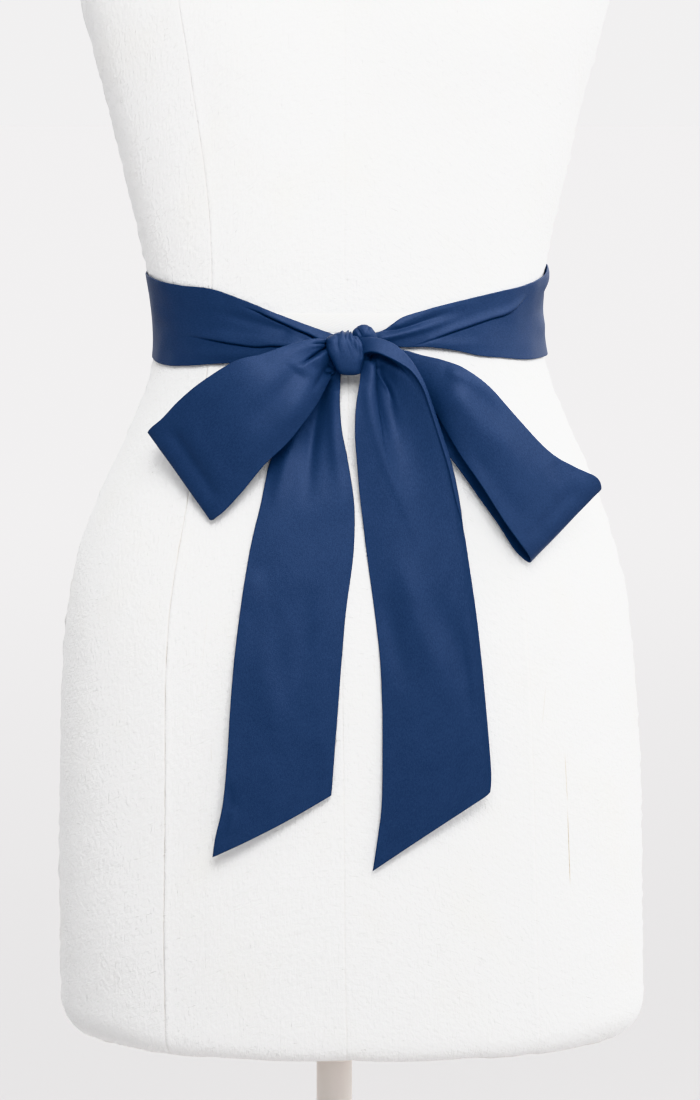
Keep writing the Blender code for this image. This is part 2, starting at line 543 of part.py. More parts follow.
def build_knot():
    """The knot, and the roll that lies against its corner: a pulled ball, cut to fit the knot."""
    add_mesh_object("sash_knot", knot_mesh("sash_knot"), paint("sash_knot_satin", NAVY, 0.45))
    cutter = bpy.data.objects.new("knot_clearance", knot_mesh("knot_clearance", CLEARANCE))
    cutter.hide_render = True
    cutter.display_type = "WIRE"
    cutters.objects.link(cutter)
    mesh = bpy.data.meshes.new("sash_knot_turn")
    shape = bmesh.new()
    bmesh.ops.create_uvsphere(shape, u_segments=TURN_SIDES, v_segments=TURN_RINGS, radius=1.0)
    for vert in shape.verts:
        offset = np.array((vert.co.x, vert.co.z, -vert.co.y)) * TURN_SIZE
        vert.co = world(np.array(TURN_CENTRE) + offset)
    shape.to_mesh(mesh)
    shape.free()
    roll = add_mesh_object("sash_knot_turn", mesh, paint("sash_knot_turn_satin", NAVY, 0.45))
    fit = roll.modifiers.new("fit", "BOOLEAN")
    fit.operation = "DIFFERENCE"
    fit.object = cutter


def build_sash():
    """Every stretch of the sash that shows."""
    cloth_wall("sash_band_left", band_grid(BAND_LEFT_ROWS, BAND_LEFT_FOLDS, along=30, across=11))
    cloth_wall("sash_band_right", band_grid(BAND_RIGHT_ROWS, BAND_RIGHT_FOLDS, along=30, across=11))
    cloth_wall("sash_band_back", band_grid(BAND_BACK_ROWS, BAND_BACK_FOLDS, along=16, across=7))
    cloth_wall("sash_loop_left", strip_grid(LOOP_LEFT_ROWS, along=49, across=7))
    cloth_wall("sash_loop_right", strip_grid(LOOP_RIGHT_ROWS, along=55, across=7))
    cloth_wall("sash_tail_left", strip_grid(TAIL_LEFT_ROWS, along=30, across=7))
    cloth_wall("sash_tail_right", corner_grid(TAIL_RIGHT_ROWS, along=31, across=10))
    cloth_wall("sash_tail_hood", strip_grid(HOOD_ROWS, along=30, across=4))
    build_knot()


for leftover in list(bpy.data.objects):
    bpy.data.objects.remove(leftover, do_unlink=True)
parts = bpy.data.collections.new("satin_sash_on_dress_form")
cutters = bpy.data.collections.new("cutters")
bpy.context.scene.collection.children.link(parts)
bpy.context.scene.collection.children.link(cutters)
build_form()
build_stand()
build_sash()
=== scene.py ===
# %% [markdown]
# # A satin sash tied in a bow, on a dress form
#
# A sash is one long strip of satin, folded double and turned to a flat tube. Round a waist it becomes a
# band, a knot, two loops and two tails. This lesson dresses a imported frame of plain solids: each solid of
# cloth is replaced by a thin shell with its folds, and the dress form under it gets a sewn linen cover
# under white paint. The frame gives the place of every piece, so everything here is made where it belongs,
# with nothing moved later.

# %% The frame
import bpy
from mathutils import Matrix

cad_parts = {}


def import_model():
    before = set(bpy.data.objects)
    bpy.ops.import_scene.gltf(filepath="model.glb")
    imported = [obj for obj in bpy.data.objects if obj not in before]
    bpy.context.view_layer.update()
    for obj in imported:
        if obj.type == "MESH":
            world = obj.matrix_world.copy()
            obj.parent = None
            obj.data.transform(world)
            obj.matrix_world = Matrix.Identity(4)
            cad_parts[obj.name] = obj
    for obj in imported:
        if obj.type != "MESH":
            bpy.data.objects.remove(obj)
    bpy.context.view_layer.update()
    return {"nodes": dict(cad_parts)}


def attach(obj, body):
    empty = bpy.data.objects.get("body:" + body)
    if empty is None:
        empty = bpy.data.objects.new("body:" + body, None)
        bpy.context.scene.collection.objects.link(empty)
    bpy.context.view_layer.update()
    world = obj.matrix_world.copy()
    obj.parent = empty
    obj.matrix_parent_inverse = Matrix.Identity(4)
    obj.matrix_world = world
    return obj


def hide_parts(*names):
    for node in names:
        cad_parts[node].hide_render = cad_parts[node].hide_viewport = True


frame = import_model()
print("frame:", len(frame["nodes"]), "solids")

# %% Tools
import math
from collections import namedtuple

import bpy
import numpy as np
from mathutils import Vector

# %% [markdown]
# ## Sizes
#
# All tables are in millimetres, as a tailor would measure: across is to the viewer's right of the form's
# middle, up is from the waist, and out is towards the viewer from the form's axis. The frame is in metres
# with +Z up and the viewer on the -Y side, so one function turns the tables' places into the frame's.

# %% Sizes and the way from the tables to the frame
MM = 0.001
WAIST_HEIGHT = 1030.0
FORM_ASIDE = 10.0           # the form's axis lies this far to the right of its pole
HEM_UP = -449.0
HEM_ROUNDING = 22.0
HEM_SQUARER = 1.2           # how much squarer than a circle the hem turns under in front and behind
SQUARENESS = 2.25           # of the form's plan: 2 would be an ellipse
BUST_RISE = 12.0
BUST_APART = 76.0
BUST_UP = 192.0
BUST_SPREAD = 56.0
BUST_TURNS = 0.5            # the bust fades out where the cosine of the turn falls below this


def world(points):
    """Tables' (across, up, out) in millimetres to the frame's (x, y, z) in metres."""
    points = np.asarray(points, float)
    across, up, out = points[..., 0], points[..., 1], points[..., 2]
    return np.stack([across + FORM_ASIDE, -out, up + WAIST_HEIGHT], -1) * MM


knot_middle = (0, -11, 107)
print("the knot's middle in the frame:", world(knot_middle).round(3))

# %% [markdown]
# ## Curves
#
# Cloth has no straight rows. Each table gives a few sections, and one smooth curve through them gives every
# row between. A cubic Hermite curve is used because it passes through the numbers that were measured and
# doesn't swing far between them. `smooth_step` is the soft switch that fades folds in and out.

# %% Curves through a table's rows
WAVES = 9
WAVE_LENGTHS = (0.7, 1.6)   # shortest and longest wave of a noise, as shares of the length asked for
USUAL_CREST = 1.5


def curve_through(knots, values, at):
    """Smooth curve through the values at the knots, read at other places along it."""
    knots = np.asarray(knots, float)
    values = np.asarray(values, float)
    at = np.asarray(at, float)
    slopes = np.gradient(values, knots, axis=0)
    low = np.clip(np.searchsorted(knots, at, side="right") - 1, 0, len(knots) - 2)
    extra = (1,) * (values.ndim - 1)
    span = (knots[low + 1] - knots[low]).reshape(at.shape + extra)
    t = ((at - knots[low]) / (knots[low + 1] - knots[low])).reshape(at.shape + extra)
    start = (1 + 2 * t) * (1 - t) ** 2 * values[low] + t * (1 - t) ** 2 * span * slopes[low]
    return start + t * t * (3 - 2 * t) * values[low + 1] + t * t * (t - 1) * span * slopes[low + 1]


def smooth_step(value):
    """0 below 0, 1 above 1, and an even rise between."""
    value = np.clip(value, 0, 1)
    return value * value * (3 - 2 * value)


def slow_noise(places, size, seed):
    """Soft uneven swell, mostly from -1 to 1, over places (..., dimensions), with waves about this long."""
    places = np.asarray(places, float)
    chance = np.random.default_rng(seed)
    total = np.zeros(places.shape[:-1])
    for _ in range(WAVES):
        direction = chance.normal(size=places.shape[-1])
        direction /= np.linalg.norm(direction)
        length = size * chance.uniform(*WAVE_LENGTHS)
        total += np.sin(places @ direction * (2 * np.pi / length) + chance.uniform(0, 2 * np.pi))
    return total / math.sqrt(WAVES) / USUAL_CREST


def arch(share):
    """0 at both edges of a strip and 1 at its middle."""
    return 4 * share * (1 - share)


print("halfway between 1 and 3:", float(curve_through([0, 1], [1, 3], 0.5)))

# %% [markdown]
# ## The form's surface
#
# A dress form is nearly an ellipse at each height, a little squarer, flatter behind at the waist and fuller
# at the seat, with two soft swells at the bust. The table has one row for each height that a tape would be
# put round. `form_point` gives any point of that skin by its turn round the form and its height, or a point
# lifted off it, and the torso, the tape and the sash's band are all laid on it.

# %% The form by its heights
FormRow = namedtuple("FormRow", "up half_width front back shift")
FORM_ROWS = [
    FormRow(-427, 184.0, 114, 118, 1.5),
    FormRow(-400, 184.0, 115, 120, 0.8),
    FormRow(-315, 183.3, 117, 125, 0.0),
    FormRow(-260, 181.8, 118, 128, -0.6),
    FormRow(-219, 179.6, 119, 130, -1.3),
    FormRow(-190, 177.0, 119, 130, -1.6),
    FormRow(-162, 172.8, 117.5, 128, -1.5),
    FormRow(-133, 165.0, 115, 124, -1.4),
    FormRow(-105, 154.8, 110.5, 117, -0.7),
    FormRow(-77, 142.2, 104, 107, -0.2),
    FormRow(-50, 130.3, 97.5, 97, 0.0),
    FormRow(-30, 123.4, 94, 90, -0.3),
    FormRow(-12, 120.2, 92, 86, -1.0),
    FormRow(5, 119.8, 91, 85, -2.0),
    FormRow(25, 122.6, 92.5, 87, -2.6),
    FormRow(51, 127.0, 96, 91, -3.2),
    FormRow(76, 132.8, 99, 95, -3.1),
    FormRow(101, 138.8, 102, 99, -3.1),
    FormRow(138, 147.5, 105, 103, -3.6),
    FormRow(175, 157.4, 107.5, 106, -3.5),
    FormRow(200, 163.6, 108.5, 108, -3.8),
    FormRow(225, 167.6, 108, 110, -3.6),
    FormRow(255, 170.6, 105, 113, -3.2),
    FormRow(290, 172.6, 99, 114, -3.0),
    FormRow(330, 173.0, 90, 111, -3.0),
    FormRow(360, 170.6, 80, 103, -3.0),
    FormRow(380, 158.0, 70, 91, -3.0),
    FormRow(398, 126.0, 61, 77, -3.0),
    FormRow(414, 92.0, 55, 66, -3.0),
    FormRow(428, 69.0, 52, 59, -3.0),
    FormRow(444, 59.0, 51, 55, -3.0),
    FormRow(476, 56.5, 50, 53, -3.0),
]
FORM_BOTTOM = FORM_ROWS[0].up
FORM_TOP = FORM_ROWS[-1].up


def form_sizes(up):
    """Half width, front depth, back depth and sideways shift of the form at a height."""
    sizes = curve_through([row.up for row in FORM_ROWS], [row[1:] for row in FORM_ROWS], up)
    return np.moveaxis(sizes, -1, 0)


def form_point(turn, up, lift=0.0):
    """Points on the form, or lifted off it, by turn in degrees from the front and by height."""
    turn, up = np.broadcast_arrays(np.radians(turn), np.asarray(up, float))
    half_width, front, back, shift = form_sizes(up)
    side, ahead = np.sin(turn), np.cos(turn)
    depth = np.where(ahead >= 0, front, back)
    across = half_width * np.sign(side) * np.abs(side) ** (2 / SQUARENESS)
    out = depth * np.sign(ahead) * np.abs(ahead) ** (2 / SQUARENESS)
    slope_across = np.sign(side) * np.abs(across / half_width) ** (SQUARENESS - 1) / half_width
    slope_out = np.sign(ahead) * np.abs(out / depth) ** (SQUARENESS - 1) / depth
    length = np.hypot(slope_across, slope_out)
    from_bust = (np.abs(across) - BUST_APART) ** 2 + (up - BUST_UP) ** 2
    rise = BUST_RISE * np.exp(-from_bust / BUST_SPREAD**2) * smooth_step(ahead / BUST_TURNS)
    return np.stack([
        across + shift + lift * slope_across / length,
        up,
        out + rise + lift * slope_out / length,
    ], -1)


def turn_at(distance, up):
    """Turn in degrees of the front line that runs this far to the right of the form's middle."""
    half_width = form_sizes(up)[0]
    side = np.sign(distance) * np.abs(distance / half_width) ** (SQUARENESS / 2)
    return np.degrees(np.arcsin(side))


waist = form_point(np.linspace(0, 360, 181), 0.0)
print("waist:", round(float(np.linalg.norm(np.diff(waist, axis=0), axis=1).sum())), "mm round")

# %% [markdown]
# ## Grids
#
# Every cloth here starts as a grid primitive with as many rows and columns as its folds need. Its points
# are then set onto the surface that was worked out, and its UV map is set to the cloth's own flat size in
# metres, so a weave keeps its real scale however the cloth lies. Columns that meet, as on a tube, are
# merged.

# %% A grid primitive laid on worked-out points
def clear_selection():
    """Operators act on everything that is selected, so each step starts with nothing."""
    if bpy.context.object and bpy.context.object.mode != "OBJECT":
        bpy.ops.object.mode_set(mode="OBJECT")
    bpy.ops.object.select_all(action="DESELECT")


def set_shape(piece, name, points, flat):
    """Name a new primitive, set its points to the tables' places and its UV map to its flat sizes."""
    mesh = piece.data
    piece.name = mesh.name = name
    mesh.vertices.foreach_set("co", world(points).ravel())
    corners = np.empty(len(mesh.loops), int)
    mesh.loops.foreach_get("vertex_index", corners)
    mesh.uv_layers[0].data.foreach_set("uv", (np.asarray(flat) * MM).reshape(-1, 2)[corners].ravel())
    mesh.uv_layers[0].name = "flat"
    mesh.update()


def laid_grid(name, points, flat):
    """A grid primitive laid on (rows, columns, 3) points."""
    rows, columns = points.shape[:2]
    clear_selection()
    bpy.ops.mesh.primitive_grid_add(x_subdivisions=columns - 1, y_subdivisions=rows - 1, size=1.0)
    piece = bpy.context.object
    set_shape(piece, name, points, flat)
    return piece


def mend(piece, gap_mm):
    """Merge points that meet and turn every face outwards."""
    clear_selection()
    piece.select_set(True)
    bpy.context.view_layer.objects.active = piece
    bpy.ops.object.mode_set(mode="EDIT")
    bpy.ops.mesh.select_all(action="SELECT")
    bpy.ops.mesh.remove_doubles(threshold=gap_mm * MM)
    bpy.ops.mesh.normals_make_consistent(inside=False)
    bpy.ops.object.mode_set(mode="OBJECT")
    bpy.ops.object.shade_smooth()


def dress(piece, material):
    """Give a finished piece its material and the body that carries it."""
    piece.data.materials.clear()
    piece.data.materials.append(material)
    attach(piece, "root")
    print(f"{piece.name}: {len(piece.data.polygons)} faces")


def lengths_along(points, axis):
    """How far each point lies from the first one, along the rows or columns of a grid."""
    steps = np.linalg.norm(np.diff(points, axis=axis), axis=-1)
    start = np.zeros_like(np.take(steps, [0], axis=axis))
    return np.concatenate([start, np.cumsum(steps, axis=axis)], axis=axis)


print("grid tools ready")

# %% [markdown]
# ## Finishes
#
# A material is a small tree of nodes. One helper adds a node with its settings and another joins two
# sockets. Patterns read the flat UV map, in metres, and sizes in the code are given in millimetres, because
# a scale of 1000 on such a map makes one cell of a texture one millimetre wide.

# %% Node helpers
PER_MM = 1.0 / MM


def new_material(name, **sockets):
    """A material with its Principled shader's sockets set."""
    material = bpy.data.materials.new(name)
    material.use_nodes = True
    shader = material.node_tree.nodes["Principled BSDF"]
    for socket, value in sockets.items():
        shader.inputs[socket.replace("_", " ")].default_value = value
    return material, shader


def add(material, kind, values=None, **settings):
    """A new node of a material or world, with input values by name and settings by keyword."""
    node = material.node_tree.nodes.new("ShaderNode" + kind)
    for setting, value in settings.items():
        setattr(node, setting, value)
    for socket, value in (values or {}).items():
        node.inputs[socket].default_value = value
    return node


def join(material, source, output, target, socket):
    """Link one node's output to another node's input."""
    material.node_tree.links.new(source.outputs[output], target.inputs[socket])


def flat_map(material, across_mm, along_mm):
    """The piece's flat map, stretched so that one unit is this many millimetres across and along."""
    place = add(material, "UVMap", uv_map="flat")
    stretch = add(material, "Mapping", {"Scale": (PER_MM / across_mm, PER_MM / along_mm, 1.0)})
    join(material, place, "UV", stretch, "Vector")
    return stretch


def noise(material, across_mm, along_mm, detail=2.0, roughness=0.5):
    """A noise texture on the flat map, with features about this many millimetres across and along."""
    texture = add(material, "TexNoise", {"Scale": 1.0, "Detail": detail, "Roughness": roughness})
    join(material, flat_map(material, across_mm, along_mm), "Vector", texture, "Vector")
    return texture


def ranged(material, source, output, low, high, to_low=0.0, to_high=1.0):
    """A value's range from low to high, spread smoothly from to_low to to_high."""
    spread = add(
        material,
        "MapRange",
        {"From Min": low, "From Max": high, "To Min": to_low, "To Max": to_high},
        interpolation_type="SMOOTHSTEP",
    )
    join(material, source, output, spread, "Value")
    return spread


def maths(material, operation, *sources):
    """A math node over sockets given as (node, output) or plain numbers."""
    node = add(material, "Math", operation=operation)
    for place, source in enumerate(sources):
        if isinstance(source, tuple):
            material.node_tree.links.new(source[0].outputs[source[1]], node.inputs[place])
        else:
            node.inputs[place].default_value = source
    return node


def mixed(material, share, first, second):
    """A colour mix: share, first and second are numbers, colours or (node, output)."""
    node = add(material, "Mix", data_type="RGBA")
    for socket, source in ((0, share), (6, first), (7, second)):
        if isinstance(source, tuple) and isinstance(source[0], bpy.types.Node):
            material.node_tree.links.new(source[0].outputs[source[1]], node.inputs[socket])
        else:
            node.inputs[socket].default_value = source
    return node


def bump(material, shader, height, output, depth_mm, strength, under=None):
    """Raise a surface by a height pattern, on top of an earlier bump if one is given."""
    node = add(material, "Bump", {"Strength": strength, "Distance": depth_mm * MM})
    join(material, height, output, node, "Height")
    if under:
        join(material, under, "Normal", node, "Normal")
    join(material, node, "Normal", shader, "Normal")
    return node


print("node helpers ready")

# %% [markdown]
# ### Painted linen
#
# The form is covered in linen and painted white many times over. The paint fills the weave, so what is left
# is a faint grid of threads, here and there a thick thread or a grain of dried paint, and slow differences
# in tone where hands and pins have been. The seams hold a little dirt, and where the cover turns under the
# hem a brown painted shade is laid on; the mesh gives both as a `seam_dirt_and_hem_shade` attribute.

# %% Painted linen
PAINT_WHITE = (0.865, 0.868, 0.870, 1.0)
PAINT_WARM = (0.846, 0.842, 0.820, 1.0)
# brown for the seams' dirt and for the painted shade under the hem
SEAM_DIRT_AND_HEM_SHADE_BROWN = (0.36, 0.31, 0.25, 1.0)
SPECK_GREY = (0.52, 0.49, 0.44, 1.0)
CRACK_BROWN = (0.36, 0.29, 0.21, 1.0)

Crack = namedtuple("Crack", "across_top up_top across_low up_low width strength")
CRACKS = [
    Crack(131.6, -257.0, 133.6, -291.0, 0.42, 0.8),
    Crack(133.4, -290.0, 135.6, -344.0, 0.52, 1.0),
    Crack(119.8, -215.0, 117.4, -241.0, 0.30, 0.5),
    Crack(-86.0, -166.0, -90.4, -206.0, 0.35, 0.18),
    Crack(-84.8, -251.0, -84.0, -262.0, 0.5, 0.25),
    Crack(14.4, -199.0, 14.9, -206.0, 0.4, 0.2),
]
CRACK_FADES = (0.2, 0.3)        # shares of a crack's length over which it fades at its low end and its top
FORM_FRONT = (-0.03, -0.06)     # metres along Y between which the cracks fade in towards the front


def crack_mask(material, place, crack):
    """1 on a thin upright crack of the paint and 0 away from it, from the object's own coordinates."""
    low = world((crack.across_low, crack.up_low, 0))
    top = world((crack.across_top, crack.up_top, 0))
    length = float(top[2] - low[2])
    lean = float(top[0] - low[0]) / length
    rise = maths(material, "SUBTRACT", (place, "Z"), float(low[2]))
    middle = maths(material, "MULTIPLY_ADD", (rise, 0), lean, float(low[0]))
    aside = maths(material, "SUBTRACT", (place, "X"), (middle, 0))
    near = maths(material, "ABSOLUTE", (aside, 0))
    thin = ranged(material, near, 0, low=crack.width * MM, high=0.0)
    from_low = ranged(material, rise, 0, low=0.0, high=length * CRACK_FADES[0])
    from_top = ranged(material, rise, 0, low=length, high=length * (1 - CRACK_FADES[1]))
    ends = maths(material, "MULTIPLY", (from_low, 0), (from_top, 0))
    front = ranged(material, place, "Y", *FORM_FRONT)
    shown = maths(material, "MULTIPLY", (ends, 0), (front, 0))
    drawn = maths(material, "MULTIPLY", (thin, 0), (shown, 0))
    return maths(material, "MULTIPLY", (drawn, 0), crack.strength)


def all_cracks(material):
    """The strongest of the cracks' masks at each place."""
    spot = add(material, "TexCoord")
    place = add(material, "SeparateXYZ")
    join(material, spot, "Object", place, "Vector")
    strongest = 0.0
    for crack in CRACKS:
        mask = crack_mask(material, place, crack)
        strongest = (maths(material, "MAXIMUM", (mask, 0), strongest), 0)
    return strongest


def painted_linen():
    """White paint over linen: slow tone, slubs, grains, seams' dirt, painted shade under the hem and a few
    cracks.
    """
    material, shader = new_material("painted_linen", Roughness=0.62, Specular_IOR_Level=0.28)
    slow = noise(material, 55, 70, detail=3.0)
    warm = ranged(material, slow, "Fac", low=0.48, high=0.78, to_high=0.55)
    tone = mixed(material, (warm, 0), PAINT_WHITE, PAINT_WARM)
    grains = noise(material, 1.7, 1.7, detail=1.0)
    speck = ranged(material, grains, "Fac", low=0.80, high=0.83, to_high=0.45)
    tone = mixed(material, (speck, 0), (tone, 2), SPECK_GREY)
    # one attribute darkens the seams with dirt and the hem's underside with painted shade
    dirt = add(material, "Attribute", attribute_name="seam_dirt_and_hem_shade")
    tone = mixed(material, (dirt, "Fac"), (tone, 2), SEAM_DIRT_AND_HEM_SHADE_BROWN)
    tone = mixed(material, all_cracks(material), (tone, 2), CRACK_BROWN)
    join(material, tone, 2, shader, "Base Color")

    warp = noise(material, 0.8, 22.0, detail=1.0)
    weft = noise(material, 22.0, 0.8, detail=1.0)
    threads = maths(material, "ADD", (warp, "Fac"), (weft, "Fac"))
    woven = bump(material, shader, threads, 0, depth_mm=0.26, strength=0.7)
    warp_slub = ranged(material, noise(material, 1.1, 9.0), "Fac", low=0.60, high=0.78)
    weft_slub = ranged(material, noise(material, 9.0, 1.1), "Fac", low=0.62, high=0.78)
    slubs = maths(material, "ADD", (warp_slub, 0), (weft_slub, 0))
    slubbed = bump(material, shader, slubs, 0, depth_mm=0.36, strength=0.7, under=woven)
    brushed = noise(material, 2.6, 3.4, detail=4.0, roughness=0.6)
    bump(material, shader, brushed, "Fac", depth_mm=0.95, strength=1.05, under=slubbed)
    return material


LINEN = painted_linen()
print("painted linen:", len(LINEN.node_tree.nodes), "nodes")

# %% [markdown]
# ### Satin
#
# Satin has long floating warp threads, so it shines softly and mostly in its own colour. A part of the
# shader is therefore metallic, which tints the sheen navy, the rest is the dye's dull colour, and the white
# gloss is turned down. Short streaks run along the warp, and a grain just under a millimetre wide stands
# for the threads.

# %% Navy satin
NAVY = (0.0278, 0.0450, 0.0970, 1.0)
NAVY_LIGHT = (0.0357, 0.0583, 0.1262, 1.0)
SHEEN_BLUE = (0.20, 0.28, 0.50, 1.0)
BLOTCH_SHARE = 0.45         # of the slow blotches, beside the streaks and the grain


def navy_satin():
    """Dyed satin with a sheen of its own colour, streaks along the warp and fine threads."""
    material, shader = new_material(
        "navy_satin",
        Metallic=0.25,
        Roughness=0.55,
        Specular_IOR_Level=0.10,
        Sheen_Weight=0.03,
        Sheen_Roughness=0.4,
        Sheen_Tint=SHEEN_BLUE,
    )
    streak = noise(material, 0.8, 1.9)
    grain = noise(material, 0.9, 0.7, roughness=0.7)
    blotch = noise(material, 9.0, 12.0, detail=3.0)
    both = maths(material, "ADD", (streak, "Fac"), (grain, "Fac"))
    uneven = maths(material, "MULTIPLY_ADD", (blotch, "Fac"), BLOTCH_SHARE, (both, 0))
    share = ranged(material, uneven, 0, low=0.85, high=1.65)
    tone = mixed(material, (share, 0), NAVY, NAVY_LIGHT)
    join(material, tone, 2, shader, "Base Color")
    woven = bump(material, shader, grain, "Fac", depth_mm=0.20, strength=0.6)
    crinkle = noise(material, 3.0, 5.0, detail=3.0)
    bump(material, shader, crinkle, "Fac", depth_mm=0.13, strength=0.5, under=woven)
    return material


SATIN = navy_satin()
print("navy satin:", len(SATIN.node_tree.nodes), "nodes")

# %% [markdown]
# ## The torso
#
# The cover is cut in eight panels. Each seam gets its own columns of the grid, close together beside the
# seam and wider apart over the panel, so that a groove nearly half a millimetre deep is real form. The seams
# are slightly uneven, and the side seams pucker, because the cover was pulled tight over them before it was
# painted.

# %% Where the seams run
Seam = namedtuple("Seam", "where groove ridge pucker dirt")
SEAMS = [
    Seam("back_middle", 0.35, 0.30, 0.10, 0.35),
    Seam("back_princess_left", 0.40, 0.35, 0.12, 0.35),
    Seam("side_left", 0.30, 0.75, 0.55, 0.15),
    Seam("princess_left", 0.45, 0.55, 0.12, 0.48),
    Seam("front_middle", 0.24, 0.10, 0.05, 0.20),
    Seam("princess_right", 0.10, 0.38, 0.15, 0.10),
    Seam("side_right", 0.30, 0.80, 0.60, 0.10),
    Seam("back_princess_right", 0.40, 0.35, 0.12, 0.35),
]

SeamRow = namedtuple("SeamRow", "up distance")
PRINCESS_ROWS = [
    SeamRow(-427, 115.4),
    SeamRow(-275, 112.8),
    SeamRow(-203, 110.8),
    SeamRow(-168, 108.2),
    SeamRow(-113, 100.1),
    SeamRow(-60, 92.0),
    SeamRow(0, 84.5),
    SeamRow(24.5, 82.0),
    SeamRow(54.6, 81.8),
    SeamRow(103, 85.8),
    SeamRow(161, 93.8),
    SeamRow(199.5, 99.6),
    SeamRow(260, 104.0),
    SeamRow(330, 102.0),
    SeamRow(380, 92.0),
    SeamRow(398, 78.0),
    SeamRow(414, 58.0),
    SeamRow(428, 42.0),
    SeamRow(444, 35.0),
    SeamRow(476, 33.0),
]
MIDDLE_ROWS = [
    SeamRow(-427, -3.5),
    SeamRow(-204, -3.0),
    SeamRow(-100, -1.6),
    SeamRow(0, -0.6),
    SeamRow(100, 0.2),
    SeamRow(476, 0.0),
]
BACK_PRINCESS_SHARE = 0.82      # of the front seam's distance from the middle


def seam_turns(up):
    """Turn of every seam at each height, from the middle of the back round by the left to the back."""
    princess, middle = (
        curve_through([row.up for row in rows], [row.distance for row in rows], up)
        for rows in (PRINCESS_ROWS, MIDDLE_ROWS)
    )
    front = turn_at(princess, up)
    behind = 180 - turn_at(princess * BACK_PRINCESS_SHARE, up)
    side, back = np.full_like(up, 90), np.full_like(up, 180)
    return np.stack([-back, -behind, -side, -front, turn_at(middle, up), front, side, behind, back], -1)


at_waist = seam_turns(np.array([0.0]))[0]
print("the seams' turns at the waist:", at_waist.round(1))

# %% The torso's grid: columns at the seams, rows up the height
BESIDE_SEAM = np.array([0.0, 0.25, 0.55, 0.95, 1.5, 2.2, 3.2, 4.6, 7.0])     # millimetres from a seam
PANEL_WIDTH = 118.0
PANEL_STEPS = 13
ROW_STEP = 4.6
GROOVE_SPREAD = 0.55
DIRT_SPREAD = 0.42
RidgeForm = namedtuple("RidgeForm", "offset spread")
RIDGE_BESIDE = RidgeForm(2.1, 1.7)      # a seam's margins are pressed to one side of it
RIDGE_OPEN = RidgeForm(0.0, 2.3)        # the side seams' margins lie open, on both sides
SEAM_SWELL = 0.28               # how unevenly deep and high a seam is along its length
SWELL_LENGTH = 23.0
PUCKER_LENGTH = 8.5
PUCKER_SPREAD = 5.5
PUCKER_SQUEEZE = 1.3            # puckers are this much shorter across the seam than along it
DIRT_LEAST = 0.45               # share of the dirt that is left above the waist
DIRT_EVEN, DIRT_UNEVEN = 0.8, 0.3
DIRT_FADE = (20.0, 60.0)        # the dirt grows downwards from this height, over this much height
BAND_PRESSES = (-26.0, 34.0)    # heights between which the band presses the seams
PRESS_FADE = 8.0
PRESSED_SHARE = 0.7             # how much of the seams' relief it presses flat
SWELL_SEED, PUCKER_SEED = 11, 31


def panel_shares():
    """Columns of a panel as shares of its width: close at both seams, even between."""
    near = BESIDE_SEAM / PANEL_WIDTH
    between = np.linspace(near[-1], 1 - near[-1], PANEL_STEPS)[1:-1]
    return np.concatenate([near, between, 1 - near[::-1]])


def torso_turns(up):
    """Turn of every column at each height, and the columns that are seams."""
    turns = seam_turns(up)
    shares = panel_shares()[:-1]
    columns = [turns[:, [k]] + (turns[:, [k + 1]] - turns[:, [k]]) * shares for k in range(len(SEAMS))]
    seam_columns = [k * len(shares) for k in range(len(SEAMS) + 1)]
    return np.concatenate(columns + [turns[:, [-1]]], axis=1), seam_columns


def seam_relief(up, around, seam_columns):
    """Rise of the cover at its seams in millimetres, and the dirt that lies in them."""
    relief = np.zeros_like(around)
    dirt = np.zeros_like(around)
    heights = up[:, None]
    worn = DIRT_LEAST + (1 - DIRT_LEAST) * smooth_step((DIRT_FADE[0] - heights) / DIRT_FADE[1])
    pucker_places = np.stack([around * PUCKER_SQUEEZE, np.broadcast_to(heights, around.shape)], -1)
    for number, seam in enumerate(SEAMS + SEAMS[:1]):
        away = around - around[:, [seam_columns[number]]]
        rightward = seam.where.endswith("left") or number == len(SEAMS)
        form = RIDGE_OPEN if seam.where.startswith("side") else RIDGE_BESIDE
        ahead = away if rightward else -away
        wobble = slow_noise(heights[..., None], SWELL_LENGTH, SWELL_SEED + number)
        swell = 1 + SEAM_SWELL * wobble
        pucker = seam.pucker * slow_noise(pucker_places, PUCKER_LENGTH, PUCKER_SEED + number)
        relief += (seam.ridge * swell + pucker) * np.exp(-(((ahead - form.offset) / form.spread) ** 2))
        relief += pucker / 2 * np.exp(-((away / PUCKER_SPREAD) ** 2))
        relief -= seam.groove * swell * np.exp(-((away / GROOVE_SPREAD) ** 2))
        lying = seam.dirt * worn * (DIRT_EVEN + DIRT_UNEVEN * wobble)
        dirt = np.maximum(dirt, lying * np.exp(-((away / DIRT_SPREAD) ** 2)))
    low, high = BAND_PRESSES
    pressed = smooth_step((heights - low) / PRESS_FADE) * smooth_step((high - heights) / PRESS_FADE)
    return relief * (1 - PRESSED_SHARE * pressed), np.clip(dirt, 0, 1)


print("columns:", torso_turns(np.array([0.0]))[0].shape[1])

# %% [markdown]
# The grid goes up the form row by row, turns under at the hem in a rounded edge, squarer in front and
# behind, and closes in the middle of the flat underside. At the neck it turns in over a small rim. Slow
# swells stand for the hand-made shell under the cover, and the hem, where the linen is folded under and
# glued, is lumpier than the rest.

